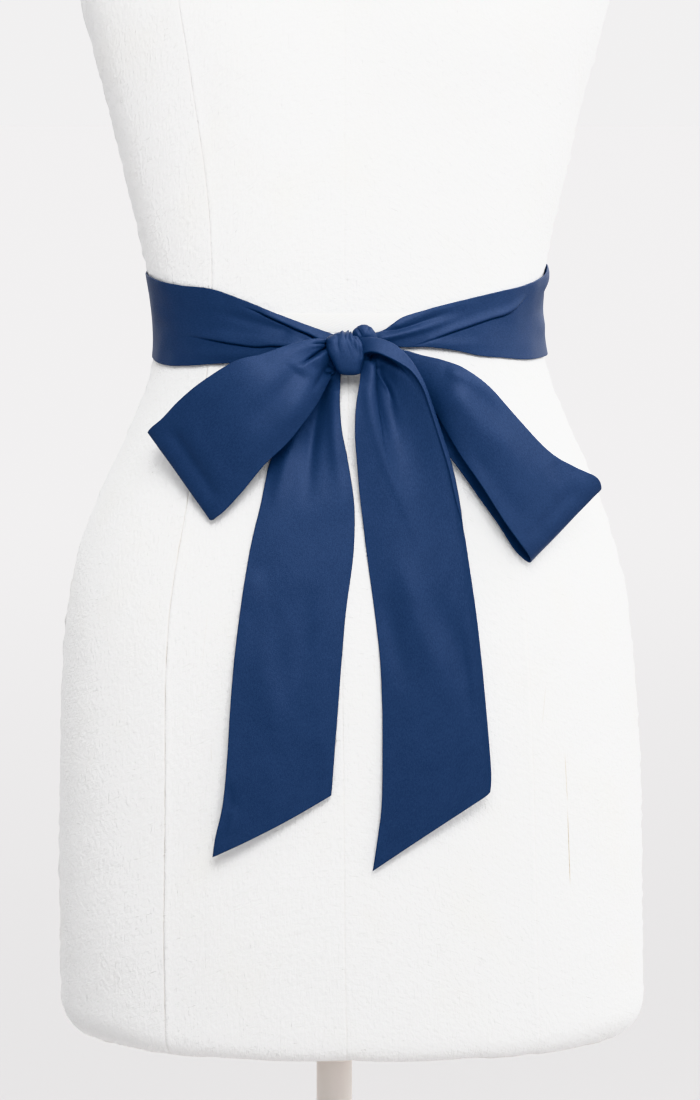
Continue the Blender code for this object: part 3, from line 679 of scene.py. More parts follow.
# %% The torso
HEM_STEPS = 9
UNDERSIDE_SHARES = (0.0, 0.12, 0.4, 0.7, 0.88, 0.97)
Lump = namedtuple("Lump", "height length seed")
HEM_LUMPS = (Lump(0.8, 26.0, 5), Lump(0.45, 9.0, 6))
FORM_LUMPS = (Lump(0.45, 95.0, 2), Lump(0.12, 30.0, 3))
HEM_LOWEST = -0.3               # the hem's lumps never hang lower than this
LIFT_UNDER = 0.4                # share of the seams' relief that goes on under the hem
SQUARER_FROM = 0.5              # cosine of the turn from which the hem grows squarer
Rim = namedtuple("Rim", "share rise")
NECK_RIM = [Rim(0.985, 1.3), Rim(0.955, 2.5), Rim(0.92, 3.0), Rim(0.7, 3.0), Rim(0.35, 3.0), Rim(0.0, 3.0)]
UNDER_HEM_DIRT = 0.6            # share of the seams' dirt that goes on under the hem
# Painted shade under the hem: the rows that turn under it are darkened brown, unevenly along the hem.
HemShadeRow = namedtuple("HemShadeRow", "row share")
HEM_PAINTED_SHADE = [HemShadeRow(9, 0.9), HemShadeRow(8, 0.9), HemShadeRow(7, 0.6), HemShadeRow(6, 0.1)]    # rows below the form's lowest
HEM_SHADE_BASE = 0.55
HEM_SHADE_LUMP = Lump(0.35, 31.0, 8)


def lumps_at(places, lumps):
    """The sum of several slow noises, each with its own height and length."""
    return sum(lump.height * slow_noise(places, lump.length, lump.seed) for lump in lumps)


def hem_rows(turns, lift):
    """Rows from the middle of the underside out to the hem and round its edge."""
    middle = np.array([0.0, HEM_UP, 0.0])
    inner = form_point(turns, FORM_BOTTOM, -HEM_ROUNDING)
    rows = [middle + (inner - middle) * share for share in UNDERSIDE_SHARES]
    for row in rows:
        row[:, 1] = HEM_UP
    edge = form_point(turns, FORM_BOTTOM)
    sag = np.maximum(lumps_at(edge[:, [0, 2]], HEM_LUMPS), HEM_LOWEST)
    frontal = smooth_step((np.abs(np.cos(np.radians(turns))) - SQUARER_FROM) / (1 - SQUARER_FROM))
    power = 2 / (2 + HEM_SQUARER * frontal)
    for quarter in np.radians(np.linspace(90, 0, HEM_STEPS, endpoint=False)):
        level, upright = max(math.cos(quarter), 0), math.sin(quarter)
        inset = HEM_ROUNDING * (1 - level ** power)
        ring = form_point(turns, FORM_BOTTOM, lift * (LIFT_UNDER + (1 - LIFT_UNDER) * level) - inset)
        ring[:, 1] -= HEM_ROUNDING * upright ** power - sag * upright
        rows.append(ring)
    return rows


def neck_rows(ring):
    """Rows over the neck's small rim and in to its middle."""
    middle = ring.mean(axis=0)
    return [middle + (ring - middle) * rim.share + (0, rim.rise, 0) for rim in NECK_RIM]


def linen_torso():
    """The whole torso as one closed skin with its seams."""
    up = np.arange(FORM_BOTTOM, FORM_TOP + 0.1, ROW_STEP)
    up[-1] = FORM_TOP
    turns, seam_columns = torso_turns(up)
    heights = up[:, None] + np.zeros_like(turns)
    plain = form_point(turns, heights)
    around = lengths_along(plain, 1)
    around -= around[:, [seam_columns[len(SEAMS) // 2]]]
    relief, dirt = seam_relief(up, around, seam_columns)
    relief += lumps_at(plain, FORM_LUMPS)
    skin = form_point(turns, heights, relief)
    below = hem_rows(turns[0], relief[0])
    above = neck_rows(skin[-1])
    points = np.concatenate([below, skin, above])
    extra_rows = ((len(below), len(above)), (0, 0))
    flat = np.stack([np.pad(around, extra_rows, mode="edge"), lengths_along(points, 0)], -1)
    dirt_and_hem_shade = np.pad(dirt, extra_rows)
    lowest = len(below)
    dirt_and_hem_shade[lowest - HEM_STEPS:lowest] = dirt[0] * UNDER_HEM_DIRT
    # painted shade under the hem: brown on the rows that turn under, uneven along the hem
    rubbed = HEM_SHADE_BASE + lumps_at(below[-1][:, [0, 2]], [HEM_SHADE_LUMP])
    for row, share in HEM_PAINTED_SHADE:
        dirt_and_hem_shade[lowest - row] = np.maximum(dirt_and_hem_shade[lowest - row], np.clip(rubbed * share, 0, 1))
    torso = laid_grid("linen_torso", points, flat)
    torso.data.attributes.new("seam_dirt_and_hem_shade", "FLOAT", "POINT").data.foreach_set("value", dirt_and_hem_shade.ravel())
    mend(torso, gap_mm=0.02)
    return torso


torso = linen_torso()
dress(torso, LINEN)
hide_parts("form_torso")

# %% [markdown]
# ## The waist tape
#
# A dress form has a narrow twill tape sewn round its waist, painted over like the rest. Only the bit above
# the knot shows, but the tape goes all the way round. It is a thin strip laid on the form, and its slanting
# twill ribs are in the material, because they are only a tenth of a millimetre high.

# %% Twill tape
TWILL_SLANT = -24.0             # degrees from across the tape
TAPE_UNDERSIDE = -0.3
TAPE_STEPS = 361


def twill_tape():
    """Painted twill: slanting ribs and a little grey in them."""
    material, shader = new_material("twill_tape", Roughness=0.7, Specular_IOR_Level=0.25)
    slant = add(material, "Mapping", {"Rotation": (0.0, 0.0, math.radians(TWILL_SLANT))})
    join(material, flat_map(material, 1.0, 1.0), "Vector", slant, "Vector")
    ribs = add(
        material,
        "TexWave",
        {"Scale": 0.24, "Distortion": 2.5, "Detail": 2.0, "Detail Scale": 1.2},
        bands_direction="Y",
    )
    join(material, slant, "Vector", ribs, "Vector")
    worn = noise(material, 4.0, 2.5, detail=3.0)
    share = maths(material, "MULTIPLY", (ribs, "Fac"), (worn, "Fac"))
    grey = ranged(material, share, 0, low=0.22, high=0.6, to_low=0.2, to_high=0.0)
    tone = mixed(material, (grey, 0), PAINT_WHITE, SPECK_GREY)
    join(material, tone, 2, shader, "Base Color")
    ribbed = bump(material, shader, ribs, "Fac", depth_mm=0.14, strength=0.7)
    bump(material, shader, worn, "Fac", depth_mm=0.3, strength=0.5, under=ribbed)
    return material


TapeRow = namedtuple("TapeRow", "up lift")
TAPE_ROWS = [
    TapeRow(-1.2, 0.05),
    TapeRow(-0.9, 0.5),
    TapeRow(-0.3, 0.75),
    TapeRow(4.7, 0.8),
    TapeRow(9.8, 0.75),
    TapeRow(10.3, 0.5),
    TapeRow(10.6, 0.05),
]


def waist_tape():
    """A strip round the form, closed by its own underside."""
    turns = np.linspace(-180, 180, TAPE_STEPS)
    outside = np.array([form_point(turns, row.up, row.lift) for row in TAPE_ROWS])
    inside = np.array([form_point(turns, row.up, TAPE_UNDERSIDE) for row in TAPE_ROWS[::-1]])
    points = np.concatenate([outside, inside, outside[:1]])
    around = lengths_along(points, 1)
    flat = np.stack([around, lengths_along(points, 0)], -1)
    tape = laid_grid("waist_tape", points, flat)
    mend(tape, gap_mm=0.02)
    return tape


tape = waist_tape()
dress(tape, twill_tape())

# %% [markdown]
# ## Shells of cloth
#
# A sheet of cloth is worked out as its middle surface: rows along the strip and columns across it. The
# shell is two layers, half the thickness to either side, and the thickness goes to nothing at the border in
# a half round, as a pressed fold does. The rows and columns are closer at the border so that this roundness
# shows.

# %% A shell from its middle surface
SATIN_THICKNESS = 1.1           # two layers of satin
BAND_THICKNESS = 1.0            # pulled tighter round the waist
TAIL_RIGHT_THICKNESS = 0.9
CLOTH_SWELL = 0.3
EDGE_SPACES = np.array([0.0, 0.12, 0.3, 0.55, 0.95])     # millimetres from a border


def spread_shares(count, length):
    """Places from 0 to 1 along a length in millimetres, close together at both ends."""
    near = EDGE_SPACES / length
    between = np.linspace(near[-1], 1 - near[-1], count - 2 * len(EDGE_SPACES) + 2)[1:-1]
    return np.concatenate([near, between, 1 - near[::-1]])


def grid_normals(points):
    """The surface's direction at each point of a grid."""
    normal = np.cross(np.gradient(points, axis=1), np.gradient(points, axis=0))
    return normal / np.maximum(np.linalg.norm(normal, axis=-1, keepdims=True), 1e-9)


def swelled(middle, length, seed):
    """How far a cloth's slow unevenness moves each point of its middle surface."""
    return grid_normals(middle) * (CLOTH_SWELL * slow_noise(middle, length, seed))[..., None]


def cloth_shell(name, middle, thickness=SATIN_THICKNESS):
    """A closed shell of cloth round a middle surface, rounded off at its borders."""
    across, along = lengths_along(middle, 1), lengths_along(middle, 0)
    from_border = np.minimum(
        np.minimum(across, across[:, -1:] - across),
        np.minimum(along, along[-1:] - along),
    )
    inner = np.clip(from_border / (thickness / 2), 0, 1)
    half = thickness / 2 * np.sqrt(1 - (1 - inner) ** 2)
    reach = grid_normals(middle) * half[..., None]
    flat = np.stack([across, along], -1)
    face = laid_grid(name, middle + reach, flat)
    lining = laid_grid(name + "_other_face", middle - reach, flat)
    clear_selection()
    lining.select_set(True)
    face.select_set(True)
    bpy.context.view_layer.objects.active = face
    bpy.ops.object.join()
    mend(face, gap_mm=0.004)
    return face


print("edge spaces:", spread_shares(14, 63.5).round(3)[:5])

# %% [markdown]
# ## Folds
#
# Soft folds are put in one by one, each along its own line. A groove is pressed in, a ridge stands up, and a
# lip is the rolled edge of cloth that lies over itself, with a sharp hollow beside it. A line has its own
# height, width and fade at either end, and the table of folds of each piece reads like a drawing of it. The
# lines are given as they are seen, across and up, and act only on the rows named, so that the far side of a
# loop stays free of them.

# %% Folds along lines
Fold = namedtuple("Fold", "kind line height width fade_in fade_out")
LINE_STEPS = 7
LIP_HOLLOW = 0.7            # depth of the hollow under a lip, as a share of its height
LIP_REACH = 3.0             # a lip's swell fades over this many of its widths
LIP_EDGE = 0.45             # and rises over this share of one
HOLLOW_OFF = 0.35           # the hollow lies this share of a width off the lip's line
HOLLOW_SPREAD = 0.5


def beside_line(places, line):
    """Signed distance of places (..., 2) from a smooth line, and how far along it they lie, 0 to 1."""
    line = np.asarray(line, float)
    count = len(line)
    dense = curve_through(range(count), line, np.linspace(0, count - 1, LINE_STEPS * (count - 1) + 1))
    start, run = dense[:-1], np.diff(dense, axis=0)
    flat = places.reshape(-1, 1, 2)
    along = np.clip(((flat - start) * run).sum(-1) / (run * run).sum(-1), 0, 1)
    offset = flat - (start + along[..., None] * run)
    distance = np.linalg.norm(offset, axis=-1)
    nearest = distance.argmin(axis=1)
    pick = np.arange(len(flat))
    chosen, step = offset[pick, nearest], run[nearest]
    side = np.sign(step[:, 0] * chosen[:, 1] - step[:, 1] * chosen[:, 0])
    share = (nearest + along[pick, nearest]) / len(run)
    shape = places.shape[:-1]
    return (side * distance[pick, nearest]).reshape(shape), share.reshape(shape)


def fold_relief(places, folds):
    """Height in millimetres that the folds give at places (..., 2)."""
    relief = np.zeros(places.shape[:-1])
    for fold in folds:
        distance, share = beside_line(places, fold.line)
        faded = smooth_step(share / fold.fade_in) * smooth_step((1 - share) / fold.fade_out)
        strength = fold.height * faded
        widths = distance / fold.width
        if fold.kind == "ridge":
            relief += strength * np.exp(-(widths**2))
        elif fold.kind == "groove":
            relief -= strength * np.exp(-(widths**2))
        elif fold.kind == "lip":
            over = np.exp(-((np.maximum(widths, 0) / LIP_REACH) ** 2))
            edge = smooth_step(0.5 + widths / LIP_EDGE)
            hollow = np.exp(-(((widths + HOLLOW_OFF) / HOLLOW_SPREAD) ** 2))
            relief += strength * (over * edge - LIP_HOLLOW * hollow)
    return relief


def with_folds(middle, folds, rows=None):
    """A middle surface with its folds on some rows or all, raised towards the viewer."""
    rows = np.ones(len(middle)) if rows is None else rows
    relief = fold_relief(middle[..., :2], folds) * rows[:, None]
    normal = grid_normals(middle)
    sign = np.sign(normal[rows > 0.5][..., 2].mean())
    return middle + sign * normal * relief[..., None]


print("fold kinds: ridge, groove, lip")

# %% [markdown]
# ## The band
#
# Round the waist the sash is one strip from the knot's right, round the back, to the knot's left. In front
# it is drawn together towards the knot and laps over itself; at the sides its top edge springs off the
# form. The rows give both edges by turn round the form and by height, and how far each edge stands off it.
# The folds' lines run the same way, as (turn, height) pairs.

# %% The band's table and folds
BandRow = namedtuple("BandRow", "turn top_up low_up top_lift low_lift bulge flare")
BAND_ROWS = [
    BandRow(4.2, -2.0, -7.6, 4.6, 3.6, 0.6, 0),
    BandRow(8.4, 0.8, -8.2, 4.4, 4.2, 1.2, 0),
    BandRow(13, 7.8, -9.6, 4.2, 4.6, 1.0, 0),
    BandRow(20, 12.6, -9.8, 3.2, 4.0, 0.8, 0),
    BandRow(29, 16.9, -12.2, 2.4, 3.0, 0.5, 0),
    BandRow(38, 20.1, -16.0, 1.8, 2.2, 0.3, 0),
    BandRow(48, 23.0, -18.0, 1.6, 1.6, 0.2, 0),
    BandRow(59, 25.3, -20.0, 1.6, 1.5, 0.1, 0),
    BandRow(71, 28.4, -20.4, 1.5, 1.6, 0.4, 0.2),
    BandRow(78, 29.8, -20.2, 1.0, 2.0, 0.8, 0.8),
    BandRow(84, 32.2, -20.0, 0.3, 2.5, 1.2, 2.2),
    BandRow(90, 34.8, -19.4, -0.3, 2.6, 1.3, 3.2),
    BandRow(96, 35.8, -18.7, 0.2, 2.4, 1.0, 2.8),
    BandRow(106, 36.4, -17.2, 1.4, 1.9, 0.3, 1.2),
    BandRow(118, 37.2, -15.6, 2.2, 1.8, 0.0, 0),
    BandRow(130, 37.4, -14.8, 1.8, 1.6, 0.2, 0),
    BandRow(148, 38.0, -14.2, 1.6, 1.6, 0.3, 0),
    BandRow(164, 37.2, -15.2, 1.5, 1.7, 0.2, 0),
    BandRow(180, 38.4, -14.0, 1.6, 1.6, 0.3, 0),
    BandRow(196, 37.4, -14.8, 1.6, 1.6, 0.2, 0),
    BandRow(212, 38.2, -13.8, 1.7, 1.6, 0.3, 0),
    BandRow(230, 37.2, -14.8, 1.8, 1.6, 0.2, 0),
    BandRow(242, 36.4, -15.6, 1.8, 1.6, 0.3, 0),
    BandRow(256, 33.2, -17.2, 1.2, 1.5, 0.4, 0.0),
    BandRow(263, 32.2, -18.2, 0.9, 1.4, 0.5, 0.0),
    BandRow(270, 31.4, -19.8, 0.8, 1.5, 0.5, 0.0),
    BandRow(277, 30.8, -21.6, 0.9, 1.6, 0.5, 0.0),
    BandRow(284, 30.0, -22.8, 1.2, 1.6, 0.4, 0),
    BandRow(294, 28.1, -24.0, 1.5, 1.6, 0.3, 0),
    BandRow(308, 26.1, -23.2, 1.6, 1.6, 0.2, 0),
    BandRow(322, 24.5, -20.9, 2.0, 2.2, 0.4, 0),
    BandRow(333, 18.1, -19.4, 2.8, 3.0, 0.6, 0),
    BandRow(343, 10.4, -17.2, 3.8, 4.2, 0.8, 0),
    BandRow(351, 3.8, -15.0, 4.6, 4.8, 0.8, 0),
    BandRow(357, -1.4, -12.6, 4.6, 4.0, 0.4, 0),
]
FLARE_FROM, FLARE_OVER = 0.74, 0.14     # shares of the band's width where its top edge springs off the form
FLARE_EASE, FLARE_EASE_OVER = 0.25, 0.07    # how much of that the very edge gives back, over this share
MM_PER_DEGREE = 2.07            # along the form's front at the waist
BAND_ALONG, BAND_ACROSS = 380, 96       # rows round the form and columns up the band
BAND_WIDTH = 50.0               # as it lies, drawn together
FRONT_SHARE = 0.28              # of the rows on either side of the knot, up to the front's last turn
FRONT_TURN = 62.0
BAND_LUMPS = [Lump(0.22, 24.0, 71)]
LIFT_LEAST = 0.8                # the cloth's middle stays this far off the form

BAND_FOLDS = [
    # right of the knot: a long pleat under which the lower half lies, a crease above it, and soft pulls
    Fold("lip", ((15, -9.6), (26, -2.6), (31, 0.4), (43, 6.1), (51, 8.7), (58, 13.8),
        (64, 20.4)), 1.9, 1.3, 0.3, 0.3),
    Fold("ridge", ((7, -4.2), (14, -1.0), (24, 4.2), (36, 10.5)), 1.4, 2.3, 0.02, 0.5),
    Fold("groove", ((6, -1.4), (13, 1.2), (21, 6.6), (30, 12.4)), 1.1, 1.6, 0.02, 0.6),
    Fold("ridge", ((10, 2.2), (18, 9.4), (28, 14.4), (40, 18.0)), 0.9, 2.6, 0.1, 0.6),
    Fold("ridge", ((20, -7.6), (30, -8.6), (44, -8.0)), 0.8, 3.5, 0.1, 0.6),
    Fold("groove", ((66, 6.0), (80, 9.5), (92, 14.0)), 0.6, 4.5, 0.4, 0.5),
    Fold("ridge", ((70, -4.0), (84, -2.0), (97, 1.0), (108, 2.0)), 0.6, 5.0, 0.4, 0.5),
    # behind: a few shallow pulls
    Fold("groove", ((118, 16.0), (135, 10.0), (152, 7.0), (171, 9.0)), 0.8, 3.4, 0.3, 0.4),
    Fold("ridge", ((126, 25.0), (146, 22.0), (168, 24.0)), 0.7, 4.4, 0.3, 0.5),
    Fold("groove", ((178, 22.0), (196, 25.0), (214, 21.0), (236, 14.0)), 0.8, 3.0, 0.4, 0.3),
    Fold("ridge", ((186, 2.0), (205, -1.0), (228, 1.0)), 0.7, 4.2, 0.4, 0.4),
    Fold("groove", ((240, -2.0), (252, 1.0), (264, 0.0)), 0.6, 3.2, 0.4, 0.4),
    # left of the knot: the top edge folded over and the crease that runs to the side
    Fold("lip", ((331, 15.6), (336.7, 11.9), (338.9, 10.1), (342, 7.1), (344.9, 4.4), (347.7, 1.6),
        (350.9, -1.4), (353.3, -4.7), (355.6, -8.0)), 2.3, 1.5, 0.3, 0.02),
    Fold("lip", ((307, -4.6), (313, -5.2), (321, -6.6), (328, -8.2), (336, -9.6), (341, -8.9),
        (351, -9.6)), 1.5, 1.2, 0.45, 0.05),
    Fold("ridge", ((312, -0.4), (325, -3.4), (338, -5.6), (350, -7.4)), 1.1, 3.2, 0.6, 0.1),
    Fold("groove", ((312, 12.8), (326, 9.0), (338, 3.6), (347, -1.2)), 1.0, 3.4, 0.6, 0.1),
    Fold("ridge", ((300, -14.0), (314, -15.4), (328, -15.0), (340, -14.4)), 0.8, 3.6, 0.6, 0.2),
    Fold("groove", ((279, 4.0), (290, 0.5), (303, -1.0)), 0.5, 3.5, 0.5, 0.4),
    Fold("ridge", ((272, 11.0), (286, 9.0), (300, 8.0)), 0.5, 6.0, 0.5, 0.4),
]
print("band:", len(BAND_ROWS), "rows and", len(BAND_FOLDS), "folds")

# %% The band
def satin_band():
    """The strip round the waist with its folds."""
    turns = [row.turn for row in BAND_ROWS]
    stages = (0, FRONT_SHARE, 1 - FRONT_SHARE, 1)
    places = np.interp(
        np.linspace(0, 1, BAND_ALONG), stages, (turns[0], FRONT_TURN, 360 - FRONT_TURN, turns[-1])
    )
    edges = curve_through(turns, [row[1:] for row in BAND_ROWS], places)
    top_up, low_up, top_lift, low_lift, bulge, flare = (column[:, None] for column in edges.T)
    share = spread_shares(BAND_ACROSS, BAND_WIDTH)[None, :]
    up = low_up + (top_up - low_up) * share
    sprung = smooth_step((share - FLARE_FROM) / FLARE_OVER)
    eased = FLARE_EASE * smooth_step((share - 1 + FLARE_EASE_OVER) / FLARE_EASE_OVER)
    lift = low_lift + (top_lift - low_lift) * share + bulge * arch(share) + flare * sprung * (1 - eased)
    turn = places[:, None] + np.zeros_like(up)
    spots = np.stack([turn * MM_PER_DEGREE, up], -1)
    folds = [fold._replace(line=np.array(fold.line) * (MM_PER_DEGREE, 1)) for fold in BAND_FOLDS]
    relief = fold_relief(spots, folds) + lumps_at(spots, BAND_LUMPS)
    middle = form_point(turn, up, np.maximum(lift + relief, LIFT_LEAST))
    return cloth_shell("satin_band", middle, BAND_THICKNESS)


band = satin_band()
dress(band, SATIN)
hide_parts("sash_band_left", "sash_band_right", "sash_band_back")

# %% [markdown]
# ## The loops
#
# A loop leaves the knot pinched, opens to the strip's full width, folds at its end and comes back behind
# itself to the knot. Its rows give the two edges in turn, and how far the middle of the strip bows out. The
# front of the loop carries the folds: pinches that run out from the knot and fade, and a soft bend before
# the end.

# %% Strips between two edges
StripRow = namedtuple("StripRow", "first second bow")
STRIP_WIDTH = 60.0              # about what a strip measures across, to space its columns by
END_SPACE = 0.02                # in rows of the table: how close a strip's first and last rows lie
END_FADE = 0.8                  # rows of its table over which a loop's folds fade at its end


def row_places(count, along):
    """Places in a table of this many rows for each row of a grid, closer together at both ends."""
    last = count - 1
    return np.concatenate([
        np.linspace(0, END_SPACE, 3),
        np.linspace(END_SPACE, last - END_SPACE, along)[1:-1],
        np.linspace(last - END_SPACE, last, 3),
    ])


def strip_surface(rows, along, across):
    """The middle surface of a strip, and each row's place in the table."""
    places = row_places(len(rows), along)
    first, second, bow = (curve_through(range(len(rows)), column, places)[:, None] for column in zip(*rows))
    share = spread_shares(across, STRIP_WIDTH)[None, :, None]
    points = first + (second - first) * share
    points[..., 2:] += bow[..., None] * arch(share)
    return points, places


def front_rows(places, end):
    """1 on the rows before a loop's end fold, fading to 0 just past it."""
    return smooth_step((end + END_FADE / 2 - places) / END_FADE)


print("strips ready")

# %% The left loop
LOOP_LEFT_ROWS = [
    StripRow((-11.6, -6.6, 103.8), (-8.6, -23.2, 103.0), 0.2),
    StripRow((-21.0, -3.8, 110.6), (-13.6, -30.0, 108.6), 3.0),
    StripRow((-38.0, -7.0, 117.5), (-20.2, -42.0, 115.5), 5.0),
    StripRow((-53.0, -12.0, 119.5), (-27.6, -53.0, 119.5), 5.5),
    StripRow((-69.2, -16.3, 119.0), (-37.5, -65.5, 120.0), 5.5),
    StripRow((-89.0, -28.8, 114.0), (-51.5, -79.0, 119.5), 4.5),
    StripRow((-103.2, -40.8, 107.0), (-64.5, -95.0, 115.5), 3.0),
    StripRow((-113.8, -52.2, 100.5), (-75.8, -107.6, 111.0), 1.5),
    StripRow((-120.8, -58.4, 96.0), (-82.2, -112.6, 107.8), 0.5),
    StripRow((-122.8, -61.4, 91.5), (-84.4, -113.8, 104.8), 0.0),
    StripRow((-119.4, -59.6, 87.5), (-82.0, -113.4, 102.0), -0.5),
    StripRow((-108.0, -52.4, 86.5), (-75.6, -106.8, 103.6), -1.5),
    StripRow((-90.0, -40.6, 91.0), (-63.0, -91.6, 106.0), -2.0),
    StripRow((-68.0, -27.4, 97.0), (-46.8, -73.6, 107.0), -1.5),
    StripRow((-45.0, -17.6, 102.0), (-30.0, -55.6, 105.4), -0.5),
    StripRow((-25.0, -10.6, 102.6), (-17.0, -34.0, 104.4), 0.0),
    StripRow((-12.8, -8.8, 101.6), (-9.0, -22.6, 101.2), 0.0),
]
LOOP_LEFT_END = 9               # the row of the table at which the loop turns back
LOOP_LEFT_FOLDS = [
    Fold("ridge", ((-15.3, -7.6), (-22.2, -7.0), (-33.8, -9.8), (-50.1, -16.0)), 1.6, 3.4, 0.02, 0.7),
    Fold("lip", ((-12.4, -9.4), (-15.0, -10.4), (-17.7, -11.8), (-20.5, -13.8), (-23.2, -15.3),
        (-27.6, -18.1), (-32.5, -20.4)), 3.8, 2.2, 0.02, 0.5),
    Fold("groove", ((-10.8, -19.0), (-16.0, -24.6), (-21.6, -31.6), (-26.6, -40.0)), 1.6, 2.4, 0.05, 0.6),
    Fold("groove", ((-12.0, -7.0), (-16.0, -6.9), (-20.5, -6.6), (-26.4, -7.6)), 1.5, 0.8, 0.02, 0.4),
    Fold("groove", ((-14.0, -8.9), (-19.0, -9.0), (-25.4, -10.0)), 0.6, 0.8, 0.02, 0.5),
    Fold("groove", ((-29.1, -19.6), (-40.7, -33.6), (-54.7, -49.9), (-68.6, -61.5)), 2.0, 7.0, 0.1, 0.6),
    Fold("ridge", ((-17.6, -20.5), (-26.8, -37.5), (-43.1, -55.8), (-59.3, -75.4)), 1.5, 6.0, 0.1, 0.6),
    Fold("groove", ((-10.0, -25.0), (-12.6, -24.8), (-15.6, -23.8)), 2.2, 1.1, 0.1, 0.5),
    Fold("groove", ((-110.6, -56.3), (-101.4, -70.3), (-89.8, -87.7),
        (-79.2, -103.0)), 1.3, 4.2, 0.2, 0.15),
    Fold("ridge", ((-100.6, -51.0), (-92.4, -64.3), (-82.0, -80.0), (-72.0, -96.0)), 0.6, 5.5, 0.3, 0.3),
]


LOOP_ALONG, LOOP_ACROSS = 300, 74
LOOP_WAVE, TAIL_WAVE = 30.0, 34.0       # length of the cloth's slow swells


def satin_loop(name, rows, end, folds, seed):
    """One loop of the bow as a shell."""
    middle, places = strip_surface(rows, LOOP_ALONG, LOOP_ACROSS)
    middle = with_folds(middle, folds, front_rows(places, end))
    return cloth_shell(name, middle + swelled(middle, LOOP_WAVE, seed))


loop_left = satin_loop("satin_loop_left", LOOP_LEFT_ROWS, LOOP_LEFT_END, LOOP_LEFT_FOLDS, 81)
dress(loop_left, SATIN)
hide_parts("sash_loop_left")

# %% The right loop
LOOP_RIGHT_ROWS = [
    StripRow((7.6, -9.6, 102.4), (7.0, -19.4, 101.4), 0.2),
    StripRow((20.0, -9.0, 104.2), (17.6, -24.0, 103.4), 0.5),
    StripRow((31.0, -10.0, 106.8), (28.0, -30.6, 105.4), 1.0),
    StripRow((43.2, -13.2, 109.8), (39.4, -38.0, 107.2), 2.0),
    StripRow((56.4, -16.2, 113.4), (49.6, -45.0, 109.8), 3.5),
    StripRow((68.6, -21.0, 115.6), (57.2, -57.2, 114.0), 5.0),
    StripRow((85.0, -33.4, 114.0), (66.6, -73.2, 118.6), 5.0),
    StripRow((103.5, -53.8, 107.6), (78.8, -90.8, 121.0), 4.5),
    StripRow((121.2, -72.8, 98.6), (91.4, -110.4, 119.6), 3.0),
    StripRow((136.8, -82.4, 91.6), (101.4, -125.2, 115.6), 1.5),
    StripRow((150.2, -89.4, 86.6), (107.4, -133.6, 111.0), 0.5),
    StripRow((153.4, -96.4, 82.4), (109.6, -138.0, 106.4), 0.0),
    StripRow((150.6, -96.6, 78.8), (107.6, -139.6, 102.0), -0.5),
    StripRow((137.6, -90.4, 81.6), (100.0, -132.4, 101.6), -1.5),
    StripRow((119.6, -80.2, 88.0), (89.6, -116.2, 103.4), -1.5),
    StripRow((99.6, -62.0, 95.0), (76.2, -97.4, 104.6), -1.0),
    StripRow((79.6, -42.6, 99.6), (65.2, -82.0, 104.8), -0.5),
    StripRow((58.0, -27.0, 101.6), (49.4, -61.4, 104.2), 0.0),
    StripRow((37.0, -17.4, 102.6), (31.0, -39.6, 102.6), 0.0),
    StripRow((20.6, -12.4, 101.2), (18.4, -26.0, 100.4), 0.0),
    StripRow((7.0, -10.8, 99.4), (6.6, -19.6, 98.6), 0.0),
]
LOOP_RIGHT_END = 11
LOOP_RIGHT_FOLDS = [
    Fold("ridge", ((56.5, -22.0), (70.4, -26.6), (84.0, -36.8), (96.0, -50.0)), 1.4, 4.0, 0.2, 0.6),
    Fold("ridge", ((58.8, -30.3), (75.1, -49.5), (93.7, -70.7), (114.7, -94.0)), 1.5, 7.0, 0.2, 0.5),
    Fold("groove", ((62.0, -52.0), (82.2, -82.7), (96.2, -101.4), (107.8, -117.4)), 1.2, 6.0, 0.3, 0.4),
    Fold("groove", ((143.0, -92.0), (130.0, -103.0), (117.0, -116.0), (108.0, -127.0)), 0.9, 4.5, 0.3, 0.3),
    Fold("groove", ((122.0, -78.0), (126.0, -86.0), (124.0, -96.0)), 0.5, 5.0, 0.3, 0.5),
]
loop_right = satin_loop("satin_loop_right", LOOP_RIGHT_ROWS, LOOP_RIGHT_END, LOOP_RIGHT_FOLDS, 82)
dress(loop_right, SATIN)
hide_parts("sash_loop_right")

# %% [markdown]
# ## The left tail
#
# The left tail comes out from under the knot and the loop, opens as it falls, and ends in a long slanting
# cut. It hangs nearly flat on the form's front, with soft upright folds that run down from the pinch and
# fade.

# %% The left tail
TAIL_LEFT_ROWS = [
    StripRow((-13.4, -20.0, 99.2), (-5.6, -20.6, 102.2), 0.2),
    StripRow((-18.4, -36.0, 99.6), (-5.8, -35.4, 103.4), 0.5),
    StripRow((-27.8, -50.0, 99.8), (-5.6, -48.0, 104.8), -0.4),
    StripRow((-39.0, -64.0, 100.8), (-4.5, -60.4, 107.0), -0.2),
    StripRow((-48.5, -79.0, 103.4), (-1.6, -75.0, 110.4), 0.4),
    StripRow((-54.0, -103.6, 109.6), (2.1, -98.0, 114.4), 1.6),
    StripRow((-58.3, -120.4, 113.0), (2.9, -114.6, 116.0), 1.6),
    StripRow((-61.8, -137.4, 115.4), (1.8, -136.8, 118.0), 1.4),
    StripRow((-66.3, -166.4, 118.4), (-2.4, -168.0, 120.6), 1.2),
    StripRow((-70.1, -197.0, 120.4), (-5.0, -198.0, 122.0), 1.2),
    StripRow((-72.7, -227.0, 121.4), (-7.1, -226.0, 122.6), 1.4),
    StripRow((-74.5, -257.0, 121.8), (-9.2, -253.0, 122.8), 1.6),
    StripRow((-77.4, -286.0, 121.8), (-10.4, -269.0, 122.8), 1.6),
    StripRow((-81.8, -305.6, 121.8), (-10.9, -275.6, 122.8), 1.4),
    StripRow((-83.6, -318.0, 121.8), (-11.3, -279.8, 122.8), 1.2),
]
